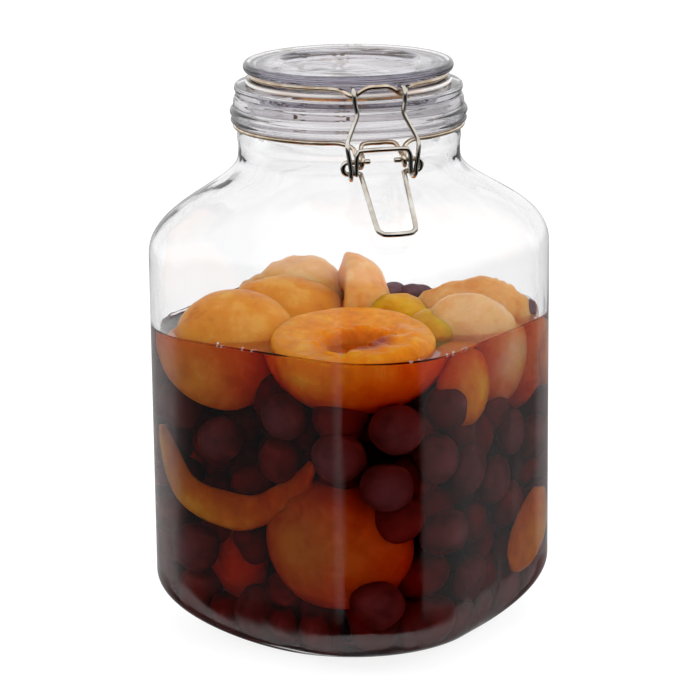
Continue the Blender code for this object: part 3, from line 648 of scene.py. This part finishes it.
def build_link(steel):
    ear, front = LINK_EAR, LINK_OUT + EYE_RADIUS
    bar_z = LINK_Z + 0.0110
    hook_z = LID_WIRE_Z + 0.0013
    hook, wide, waist = ARCH_WIDTH, 0.0168, 0.0110
    half = latch_path(
        (0.0514, hook - 0.0010, hook_z), (0.0545, hook - 0.0004, hook_z + 0.0001), (0.0568, hook, hook_z - 0.0003),
        (0.0577, hook, hook_z - 0.0022), (0.0582, hook - 0.0003, hook_z - 0.0060), (0.0590, waist, hook_z - 0.0108),
        (0.0604, waist + 0.0022, hook_z - 0.0158), (0.0622, wide - 0.0006, hook_z - 0.0222),
        (0.0634, wide, bar_z + 0.0015), (front + 0.0006, wide - 0.0007, bar_z - 0.0040),
        (front + 0.0003, ear + 0.0013, LINK_Z + 0.0026),
    )
    half += eye(LINK_OUT, LINK_Z, ear, 0.0025, 0, -360, EYE_RADIUS)
    half += latch_path(
        (front + 0.0004, ear - 0.0013, PIVOT_Z - 0.0012), (front + 0.0004, ear - 0.0014, bar_z - 0.0035),
        (front + 0.0003, ear - 0.0024, bar_z - 0.0009), (front + 0.0003, ear - 0.0050, bar_z),
    )
    tube("wire_link", half, WIRE, False, steel, "latch_link", "latch_link")


def facing(direction, spin_deg=0.0):
    turn = Vector(direction).normalized().to_track_quat("Z", "Y").to_matrix().to_4x4()
    return turn @ Matrix.Rotation(radians(spin_deg), 4, "Z")


def within(share):
    return max(0.0, min(1.0, share))


def half_mesh(radius, height, pit, depth, seed, torn=None, sides=72):
    """Half a peach, cut face up: stone cavity, slightly hollow face, rounded rim, creased dome.

    torn gives the stone cavity's shift on the face, the way in which a flap of flesh lies over it, and how
    far out the flap starts, as a share of the cavity.
    """
    rim, face_end = 0.0028, 0.93 * radius
    profile = [(pit * out, -depth * down) for out, down in ((0.15, 1), (0.45, 0.93), (0.78, 0.62), (0.98, 0.22))]
    profile += [(pit * 1.18, -0.0004), (radius * 0.55, -0.0002), (radius * 0.80, 0.0), (face_end, -0.0006)]
    profile += [(radius * 0.985, -rim)]
    for step in range(1, 9):
        angle = pi / 2 * step / 9
        profile.append((radius * cos(angle) ** 0.9, -rim - (height - rim) * sin(angle)))
    run = smooth_run(profile, 7 if torn else 4)
    # The profile's first nine points lie on the cut face
    face_rows = len(run) * 9 / len(profile)
    shift = Vector((torn[0], torn[1], 0)) if torn else Vector()
    drift = Vector((seed * 3.7, seed * 1.3, seed * 0.7))
    rings = []
    for place, (reach, level) in enumerate(run):
        on_face = (level > -0.003 or reach < pit) and place < face_rows
        dome = within(-level / (height * 0.4)) if reach > pit * 1.2 else 0.0
        ring = []
        for k in range(sides):
            point = at_angle(2 * pi * k / sides, reach, level)
            swell = noise.noise(point * 28 + drift) * 0.0018 + noise.noise(point * 90 + drift) * 0.0004
            if reach < pit * 1.1:
                swell += noise.noise(point * 260 + drift) * 0.0011
            crease = exp(-((point.y / 0.0035) ** 2)) * (1 if point.x > 0 else 0.35)
            scale = 1 + (swell - 0.0012 * crease * dome) / radius
            spot = Vector((point.x * scale, point.y * scale, point.z + swell * 0.5))
            if torn and on_face:
                flat = Vector((point.x, point.y, 0))
                ragged = noise.noise(flat * 170 + drift) * 0.0022 + noise.noise(flat * 520 + drift) * 0.0009
                way = Vector((cos(torn[2]), sin(torn[2]), 0))
                along = point.dot(way) - pit * torn[3] + ragged * 1.6
                aside = abs(point.cross(way).z)
                flap = within(along / 0.0016) * within((face_end - reach) / 0.007)
                flap *= within((radius * 0.72 - aside) / 0.008)
                top = 0.0022 + noise.noise(point * 140 + drift) * 0.0012
                roughness = 0.9 if reach < pit * 1.3 else 0.15
                spot.z += flap * (max(0.0, -spot.z) * 0.9 + top) + (1 - flap) * ragged * roughness
                spot += shift * within((face_end - reach) / (face_end - pit * 1.2))
            ring.append(tuple(spot - shift))
        rings.append(ring)
    return skin(rings, (0, 0, -depth), (-shift.x, -shift.y, -height))


def inside_wall(point, gap=0.0006):
    """How far a point has to come in, along its own direction from the axis, to clear the glass."""
    x, y = point[:2]
    reach = hypot(x, y)
    limit = squared_radius(atan2(y, x) % (2 * pi), HOLLOW_SIDE - gap, HOLLOW_CORNER - gap)
    return max(0.0, reach - limit)


def fitted(points, gap=0.0004):
    """World points with those beyond the glass laid against it."""
    clear = []
    for point in points:
        over = inside_wall(point, gap)
        scale = 1 - over / hypot(point[0], point[1]) if over else 1.0
        clear.append((point[0] * scale, point[1] * scale, point[2]))
    return clear


def pressed(shell, place):
    """A piece's own shell, pressed flat where it would run into the glass."""
    vertices, faces = shell
    back = place.inverted()
    world = fitted([place @ Vector(vertex) for vertex in vertices])
    return [tuple(back @ Vector(point)) for point in world], faces


def slice_mesh(radius, depth, thickness, sweep_deg, seed, place):
    """A peach crescent in world places: round back, thin inner edge, blunt ends, resting along the glass."""
    steps, around = 56, 40
    sweep = radians(sweep_deg)
    rings = []
    drift = Vector((seed * 2.1, seed, seed * 5.3))
    for step in range(1, steps):
        angle = sweep * (step / steps - 0.5)
        fullness = cos(pi * (step / steps - 0.5)) ** 0.45
        ring = []
        for k in range(around):
            turn = 2 * pi * k / around
            across = sin(turn) * 0.5 * thickness * (0.62 + 0.38 * cos(turn)) * fullness
            inward = (cos(turn) * 0.5 - 0.5) * depth * fullness
            reach = radius * 0.93 + depth * 0.5 * fullness + inward
            point = Vector((reach * sin(angle), across, reach * cos(angle) - radius))
            point += Vector((1, 1, 1)) * noise.noise(point * 60 + drift) * 0.0014
            ring.append(place @ point)
        rings.append(ring)
    backs = []
    for ring in rings:
        worst = max(ring, key=inside_wall)
        backs.append(Vector((-worst.x, -worst.y, 0)).normalized() * inside_wall(worst))
    for row, ring in enumerate(rings):
        near = backs[max(0, row - 5):row + 6]
        back = sum(near, Vector()) / len(near)
        rings[row] = fitted([point + back for point in ring])
    tips = [tuple(sum((Vector(point) for point in rings[row]), Vector()) / around) for row in (0, -1)]
    return skin(rings, *tips)


def slice_turn(outward, back):
    outward = Vector(outward).normalized()
    back = Vector(back)
    back = (back - outward * back.dot(outward)).normalized()
    side = outward.cross(back)
    return Matrix((side, outward, back)).transposed().to_4x4()


def cherry_mesh(radius, seed):
    """A cherry: flattened, dimpled at the stalk end, a little lopsided."""
    sides, levels, flatness = 32, 20, 0.92
    rings = []
    drift = Vector((seed * 1.9, seed * 4.1, seed))
    for step in range(1, levels):
        turn = pi * step / levels
        dimple = 0.22 * exp(-((turn - pi) / 0.42) ** 2)
        ring = []
        for k in range(sides):
            point = at_angle(2 * pi * k / sides, sin(turn), -cos(turn) * flatness)
            point.z -= dimple
            point *= radius * (1 + 0.05 * noise.noise(point * 1.3 + drift))
            ring.append(tuple(point))
        rings.append(ring)
    return skin(rings, (0, 0, -radius * flatness), (0, 0, radius * 0.70))


# Radius, height over radius, middle of the cut face, the way it faces, flesh, spin in degrees
HALVES = [
    (0.0330, 0.80, (-0.0348, -0.0465, 0.1380), (-0.3, 0.55, -0.78), "gold", 20),
    (0.0385, 0.88, (0.0292, -0.0425, 0.1562), (0.072, -0.110, 0.99), "painted_light", 200),
    (0.0280, 0.95, (-0.0174, 0.0149, 0.1518), (-0.76, -0.62, 0.10), "pale", 60),
    (0.0290, 0.80, (-0.0350, -0.0048, 0.1435), (-0.26, 0.49, -0.83), "gold", 10),
    (0.0300, 0.80, (-0.0468, 0.0197, 0.1455), (0.19, 0.54, -0.82), "pale", 90),
    (0.0271, 0.80, (0.0532, 0.0162, 0.1385), (-0.73, 0.67, -0.1), "blush", 120),
    (0.0326, 0.80, (0.0413, 0.0447, 0.1360), (-0.49, 0.85, -0.15), "pale", 150),
    (0.0350, 0.80, (0.0250, -0.0466, 0.0590), (-0.25, 0.97, 0.0), "painted_shade", 40),
    (0.0333, 0.80, (-0.0522, 0.0016, 0.0660), (1.0, 0.0, 0.0), "painted_shade", 80),
    (0.0333, 0.80, (-0.0118, 0.0522, 0.0600), (0.0, -1.0, 0.0), "painted_shade", 30),
    (0.0200, 0.80, (0.0174, 0.0137, 0.1440), (-0.27, 0.42, -0.86), "yellow", 15),
]
# Radius of its bend, depth, thickness, middle, the way out of the jar, the way of its back, sweep in degrees
SLICES = [
    (0.0500, 0.0170, 0.0150, (-0.0235, -0.0690, 0.0665), (0.16, -0.987, 0.0), (-0.06, 0.0, -1.0), 150),
    (0.0460, 0.0300, 0.0170, (0.0706, 0.0395, 0.0440), (1.0, 0.0, 0.0), (0.0, 0.72, -0.69), 62),
]
# Further halves that fill the jar as in the photo, with their names first
MORE_HALVES = [
    ("half_right", 0.0190, 0.84, (0.0628, -0.0170, 0.1300), (-1.0, 0.0, -0.05), "painted_light", 40),
    ("half_edge", 0.0200, 0.85, (0.0560, 0.0560, 0.1330), (-0.80, -0.60, -0.10), "gold", 70),
    ("half_olive", 0.0150, 0.90, (0.0470, 0.0017, 0.1460), (-0.20, 0.45, -0.87), "yellow", 25),
    ("half_low", 0.0190, 0.80, (-0.0262, -0.0435, 0.0400), (0.20, 0.97, 0.10), "painted_shade", 65),
]
# The half with the flap, and the one that is flatter in height
TORN_HALF, SQUASHED_HALF = 2, 8
# A whole half's radius, and the radius and depth of its stone cavity
PIT_HALF, PIT_RADIUS, PIT_DEPTH = 0.035, 0.0125, 0.0085
CHERRY_RADIUS, LOW_CHERRY_RADIUS = 0.012, 0.0082
# Middles and radii in millimetres, and in CHERRIES middles only
FLOATING_CHERRIES = [
    (-4, 46, 155.5, 8.5), (6.5, 50, 155.5, 9), (-63.5, -38, 144, 12), (62, 55.5, 149.5, 8.5),
]
CHERRIES = [
    (1.1, 46, 148), (16.9, 65.8, 146), (55.9, -57.9, 90.6), (50.6, -57.6, 33.3),
    (37, -66.2, 104.5), (-27.3, -66.3, 104.2), (9.2, -66.3, 120.2), (-43.2, -65, 47.6),
    (66.1, -37.4, 101), (66.3, -14.6, 90.4), (66.3, 7.9, 79.4), (66.3, 22.8, 99.4),
    (63.8, 46.6, 90.7), (66.3, -31.3, 63.4), (66.3, -13.4, 36), (56.1, -32.4, 22.5),
    (58, 24, 22), (-12.6, -58.4, 21.5), (-52.5, -60.6, 115.8), (-60.9, -52, 60.7),
    (58.9, -54.7, 118.3), (-45.1, -53.2, 24.7), (-62, -50.2, 95), (56.2, 50.4, 52),
    (-66.3, -25.4, 101), (50.2, 62, 105), (38.1, 66.1, 53), (25.4, 66.3, 101),
    (-66.3, 15.3, 107), (0, 66.3, 101), (-65.2, 42.4, 53), (-65.9, 39.6, 101),
    (-26.8, 66.3, 101), (-52.6, 60.5, 99), (66.3, -28.1, 125), (-64.1, -37, 29),
    (-65.6, -41, 125), (55.1, 49.6, 27), (50.2, 62, 75),
]


def turned_to_face(place, toward):
    """The way on a half's face, as an angle in its own frame, that points to a world direction."""
    local = place.to_3x3().inverted() @ Vector(toward)
    return atan2(local.y, local.x)


def inner_cherries():
    """Cherries behind the ones at the glass, in a crowd where each cuts a little into the next."""
    tries, most, apart, lowest = 12000, 150, 0.0172, 0.0202
    rng = random.Random(11)
    taken = [Vector(middle[:3]) / 1000 for middle in CHERRIES + FLOATING_CHERRIES]
    taken += [Vector(row[3]) + Vector(row[4]) * -0.006 for row in SLICES]
    # The bodies of the slices away from their middles
    taken += [Vector((0.004, -0.060, 0.074)), Vector((-0.050, -0.055, 0.078)), Vector((0.062, 0.045, 0.056))]
    halves = HALVES + [half[1:] for half in MORE_HALVES]
    spots = []
    for _ in range(tries):
        angle = rng.uniform(0, 2 * pi)
        height = max(lowest, rng.uniform(0.018, 0.128))
        inset = rng.uniform(0.018, 0.040)
        # Drawn in over the rounded foot
        narrow = 0.010 * max(0.0, (0.034 - height) / 0.014)
        reach = squared_radius(angle, HOLLOW_SIDE - inset - narrow, HOLLOW_CORNER - inset - narrow)
        spot = at_angle(angle, reach, height)
        if min((spot - other).length for other in taken) < apart:
            continue
        if any((spot - Vector(half[2])).length < half[0] * 0.95 for half in halves):
            continue
        taken.append(spot)
        spots.append(spot)
        if len(spots) == most:
            break
    return spots


def hollow_at(height):
    """Side and corner of the jar's hollow at a height in its rounded foot."""
    up = within((height - FLOOR_Z) / (FOOT_ROUND - WALL))
    return drawn_in(HOLLOW_SIDE, HOLLOW_CORNER, HOLLOW_FOOT, cos(asin(1 - up)))


def low_cherries(spots):
    """Small cherries in the hollow's rounded foot, between the larger ones."""
    apart, steps = 0.0150, 72
    taken = [Vector(middle) / 1000 for middle in CHERRIES] + spots
    low = []
    for inset, height in ((0.0096, 0.0185), (0.0215, 0.0162)):
        side, corner = hollow_at(height - 0.0048)
        for step in range(steps):
            angle = 2 * pi * step / steps
            spot = at_angle(angle, squared_radius(angle, side - inset, corner - inset), height)
            if min((spot - other).length for other in taken) > apart:
                taken.append(spot)
                low.append(spot)
    return low


def build_froth(material):
    """Tiny bubbles that cling to the glass along the syrup's edge."""
    rng = random.Random(23)
    clumps = [rng.uniform(0, 2 * pi) for _ in range(18)]
    vertices, faces = [], []
    for _ in range(80):
        angle = rng.choice(clumps) + rng.gauss(0, 0.035)
        radius = rng.uniform(0.0002, 0.0007)
        reach = squared_radius(angle, HOLLOW_SIDE - radius, HOLLOW_CORNER - radius) - rng.uniform(0, 0.0012)
        middle = at_angle(angle, reach, LEVEL_Z + rng.uniform(0.0004, 0.0017))
        turns = [pi * row / 6 for row in range(1, 6)]
        rings = round_rings([(radius * sin(turn), -radius * cos(turn)) for turn in turns], 10)
        points, sheets = skin(rings, (0, 0, -radius), (0, 0, radius))
        faces += [tuple(len(vertices) + index for index in sheet) for sheet in sheets]
        vertices += [tuple(Vector(point) + middle) for point in points]
    mesh_piece("froth", (vertices, faces), material, "jar", smooth_angle=None)


def tilted(middle, rng):
    return Matrix.Translation(middle) @ facing([rng.uniform(-1, 1) for _ in range(3)])


def build_peach(name, shell, material, place, nodes=()):
    mesh_piece(name, shell, material, "jar", nodes, place)


def build_cherry(name, radius, seed, material, place, nodes=()):
    mesh_piece(name, cherry_mesh(radius, seed), material, "jar", nodes, place)


def build_fruit(flesh, skin_material, deeper_skin, pale_top_skin):
    toward_camera = (sin(CAMERA_TURN), -cos(CAMERA_TURN), 0)
    for number, (radius, ratio, middle, cut, kind, spin) in enumerate(HALVES, 1):
        squash = Matrix.Diagonal((1.0, 1.0, 0.86, 1.0)) if number == SQUASHED_HALF else Matrix()
        place = Matrix.Translation(middle) @ squash @ facing(cut, spin)
        pit, depth, torn, sides = PIT_RADIUS * radius / PIT_HALF, PIT_DEPTH, None, 72
        if number == TORN_HALF:
            toward = turned_to_face(place, toward_camera)
            shift = at_angle(toward, 0.0095, 0) + at_angle(toward + pi / 2, 0.0025, 0)
            torn = (shift.x, shift.y, toward + radians(52), 0.40)
            pit, depth, sides = 0.0158, 0.0105, 160
        shell = half_mesh(radius, radius * ratio, pit, depth, number, torn, sides)
        if torn:
            place = place @ Matrix.Translation((torn[0], torn[1], 0))
        build_peach(f"half_{number}", pressed(shell, place), flesh[kind], place, (f"peach_half_{number}",))
    for number, (name, radius, ratio, middle, cut, kind, spin) in enumerate(MORE_HALVES, 21):
        share = radius / PIT_HALF
        shell = half_mesh(radius, radius * ratio, PIT_RADIUS * share, PIT_DEPTH * share, number)
        place = Matrix.Translation(middle) @ facing(cut, spin)
        build_peach(name, pressed(shell, place), flesh[kind], place)
    for number, (radius, depth, thickness, middle, outward, back, sweep) in enumerate(SLICES, 1):
        place = Matrix.Translation(middle) @ slice_turn(outward, back)
        shell = slice_mesh(radius, depth, thickness, sweep, number, place)
        build_peach(f"slice_{number}", shell, flesh["yellow"], None, (f"peach_slice_{number}",))
    rng = random.Random(7)
    for number, middle in enumerate(CHERRIES, 1):
        place = tilted(Vector(middle) / 1000, rng)
        build_cherry(f"cherry_{number:02d}", CHERRY_RADIUS, number, skin_material, place, (f"cherry_{number}",))
    for number, (x, y, z, radius) in enumerate(FLOATING_CHERRIES, 1):
        place = Matrix.Translation((x / 1000, y / 1000, z / 1000))
        build_cherry(f"top_cherry_{number}", radius / 1000, 60 + number, pale_top_skin, place)
    inner = inner_cherries()
    for number, spot in enumerate(inner, 1):
        radius = rng.uniform(0.0105, 0.0125)
        build_cherry(f"inner_cherry_{number:03d}", radius, 100 + number, deeper_skin, tilted(spot, rng))
    for number, spot in enumerate(low_cherries(inner), 1):
        place = Matrix.Translation(spot)
        build_cherry(f"low_cherry_{number:02d}", LOW_CHERRY_RADIUS, 300 + number, deeper_skin, place)


def build_world():
    """White to the eye, a dim room in what polished surfaces mirror, and light of its own for what is behind glass."""
    world = bpy.data.worlds.new("studio")
    bpy.context.scene.world = world
    world.use_nodes = True
    tree = world.node_tree
    direction = add(tree, "TexCoord").outputs["Generated"]
    x, y, z = add(tree, "SeparateXYZ", {"Vector": direction}).outputs

    def along(heading):
        inputs = {0: direction, 1: (cos(heading), sin(heading), 0)}
        return add(tree, "VectorMath", inputs, operation="DOT_PRODUCT").outputs["Value"]

    def work(operation, first, second):
        return math_node(tree, operation, first, second)

    # The mirrored room: panels up to a height that rises towards the front, white above them, and a backdrop
    turn = work("ADD", work("DIVIDE", work("ARCTAN2", y, x), 2 * pi), 0.5)
    panels = ramp(tree, turn, [(degrees / 360 + 0.5, (v, v, v)) for degrees, v in MIRRORED], "LINEAR")
    panels = product(tree, panels, map_range(tree, z, -0.60, -0.34, 0.1, 1.0))
    cosine = work("DIVIDE", along(FRONT), work("MAXIMUM", flat_length(tree, x, y), 0.001))
    lowness = work("SUBTRACT", z, map_range(tree, cosine, -0.3, 0.3, 0.0, 0.30))
    mirrored = mix_value(tree, map_range(tree, lowness, 0.02, -0.16, smooth=True), 1.0, panels)
    light = add(tree, "LightPath").outputs
    outer = work("SUBTRACT", 1.0, light["Is Transmission Ray"])
    behind = map_range(tree, cosine, -0.2, -0.6, smooth=True)
    mirrored = work("MAXIMUM", mirrored, product(tree, behind, 0.9, work("SUBTRACT", 1.0, outer)))
    # Rays that only pass through glass: white but for a dark gap in front
    gap = map_range(tree, cosine, 0.80, 0.86, smooth=True)
    below = map_range(tree, z, 0.62, 0.45, smooth=True)
    through = work("SUBTRACT", 1.0, product(tree, gap, below, 0.97))
    reflected = work("MAXIMUM", outer, work("COMPARE", light["Glossy Depth"], 1.0))
    seen = work("MAXIMUM", mix_value(tree, reflected, through, mirrored), light["Is Camera Ray"])
    # Light on rough surfaces, first behind the glass and then outside it
    above = map_range(tree, z, -0.25, 0.20, LOW_LIGHT, HIGH_LIGHT)
    sided = map_range(tree, along(BRIGHT_SIDE), -1.0, 1.0, DARK_SIDE_SHARE, BRIGHT_SIDE_SHARE)
    behind_glass = work("GREATER_THAN", light["Diffuse Depth"], 0.5)
    seen = mix_value(tree, behind_glass, seen, product(tree, above, sided))
    strength = mix_value(tree, product(tree, light["Is Diffuse Ray"], outer), seen, OUTSIDE_LIGHT)
    feed(tree, tree.nodes["Background"], {"Strength": strength, "Color": (1, 1, 1, 1)})


def build_floor():
    """A white floor that keeps the shadow, and lets through the rays that polished surfaces mirror."""
    size, z = 6.0, -0.0003
    mesh = bpy.data.meshes.new("floor")
    mesh.from_pydata([(-size, -size, z), (size, -size, z), (size, size, z), (-size, size, z)], [], [(0, 1, 2, 3)])
    material, tree, shader = new_tree("white_floor")
    light = add(tree, "LightPath").outputs
    lit = math_node(tree, "GREATER_THAN", light["Diffuse Depth"], 0.5)
    glow = mix_value(tree, lit, FLOOR_SEEN, FLOOR_LIGHT)
    feed(tree, shader, {
        "Base Color": (0.25, 0.25, 0.25, 1), "Roughness": 1.0, "Specular IOR Level": 0.0,
        "Emission Color": (1, 1, 1, 1), "Emission Strength": glow,
    })
    mirrored = math_node(tree, "GREATER_THAN", light["Glossy Depth"], 0.5)
    clear = add(tree, "BsdfTransparent").outputs[0]
    seen = add(tree, "MixShader", {0: mirrored, 1: shader.outputs[0], 2: clear})
    feed(tree, tree.nodes["Material Output"], {"Surface": seen.outputs[0]})
    mesh.materials.append(material)
    floor = put("floor", mesh)
    floor.visible_glossy = False


def build_lamps():
    for name, place, size, power in (
        ("lamp_top", (0.0, 0.25, 1.30), 1.0, 9.0),
        ("lamp_left", (-0.95, -0.75, 0.75), 0.7, 6.0),
        ("lamp_right", (1.05, 0.55, 0.75), 0.7, 6.0),
    ):
        data = bpy.data.lights.new(name, "AREA")
        data.shape = "SQUARE"
        data.size = size
        data.energy = power
        lamp = put(name, data)
        lamp.location = place
        lamp.rotation_mode = "QUATERNION"
        lamp.rotation_quaternion = (Vector(LAMPS_AIM) - Vector(place)).to_track_quat("-Z", "Y")
        lamp.visible_glossy = False
        lamp.visible_transmission = False


def build_camera():
    data = bpy.data.cameras.new("camera")
    data.sensor_width = 36.0
    data.lens = CAMERA_LENS
    data.shift_x, data.shift_y = CAMERA_SHIFT
    right = Vector((cos(CAMERA_TURN), sin(CAMERA_TURN), 0))
    ahead = Vector((-sin(CAMERA_TURN), cos(CAMERA_TURN), 0)) * cos(CAMERA_PITCH)
    ahead.z = -sin(CAMERA_PITCH)
    up = right.cross(ahead)
    turn = Matrix((right, up, -ahead)).transposed().to_4x4()
    camera = put("camera", data)
    camera.matrix_world = Matrix.Translation(CAMERA_PLACE) @ turn @ Matrix.Rotation(CAMERA_ROLL, 4, "Z")
    bpy.context.scene.camera = camera


# Deep, middle and pale patches, the stone cavity, and how far the lower back is reddened
PEACH_COLOURS = {
    "gold": ((0.66, 0.21, 0.018), (0.75, 0.29, 0.030), (0.81, 0.38, 0.07), (0.36, 0.03, 0.006)),
    # Painted light: a brighter copy of the flesh for the half at the syrup's surface and the small half on the right,
    # with a reddened lower back
    "painted_light": ((0.78, 0.21, 0.004), (0.88, 0.29, 0.008), (0.93, 0.40, 0.03), (0.24, 0.010, 0.002), 0.60),
    # Painted shade: a darker copy of the flesh for the halves low in the syrup
    "painted_shade": ((0.46, 0.15, 0.010), (0.54, 0.22, 0.018), (0.60, 0.28, 0.04), (0.30, 0.03, 0.006)),
    "blush": ((0.80, 0.38, 0.12), (0.86, 0.50, 0.22), (0.90, 0.62, 0.36), (0.45, 0.10, 0.03)),
    "pale": ((0.70, 0.27, 0.05), (0.78, 0.38, 0.11), (0.83, 0.48, 0.20), (0.45, 0.10, 0.03)),
    "yellow": ((0.54, 0.21, 0.004), (0.64, 0.29, 0.006), (0.72, 0.38, 0.02), (0.50, 0.20, 0.01)),
}


def build_all():
    bpy.context.scene.view_settings.view_transform = "Standard"
    glass = glass_material("clear_glass", (0.80, 0.80, 0.83), 30.0, 40.0, 0.0006, (0.84, 0.82, 0.84))
    lid_glass = glass_material("lid_glass", (0.80, 0.79, 0.83), 40.0, 55.0, 0.0004, (0.97, 0.96, 0.985))
    steel = steel_material("drawn_steel", (0.58, 0.53, 0.46), (0.78, 0.75, 0.69))
    # Painted reflection: the neck and lid wires' steel is tinted warm for the orange fruit and gasket mirrored in it
    steel_painted_warm_reflection = steel_material("steel_painted_warm_reflection", (0.56, 0.42, 0.29), (0.80, 0.70, 0.56))
    flesh = {kind: peach_material(f"peach_{kind}", *colours) for kind, colours in PEACH_COLOURS.items()}
    build_jar(glass)
    build_lid(lid_glass)
    build_gasket(rubber_material())
    build_syrup(syrup_material())
    build_neck_wire(steel_painted_warm_reflection)
    build_lid_wire(steel_painted_warm_reflection)
    build_lever(steel)
    build_link(steel)
    front = cherry_material("cherry_skin", (0.075, 0.014, 0.019), (0.125, 0.028, 0.036), (0.22, 0.062, 0.074))
    deeper = cherry_material("cherry_deep", (0.080, 0.011, 0.014), (0.135, 0.020, 0.025), (0.23, 0.046, 0.054))
    # A paler cherry skin for the cherries floating at the top
    pale_top_skin = cherry_material("cherry_pale_top", (0.10, 0.045, 0.055), (0.16, 0.085, 0.10), (0.26, 0.16, 0.18))
    build_fruit(flesh, front, deeper, pale_top_skin)
    build_froth(froth_material())
    build_world()
    build_floor()
    build_lamps()
    build_camera()


build_all()
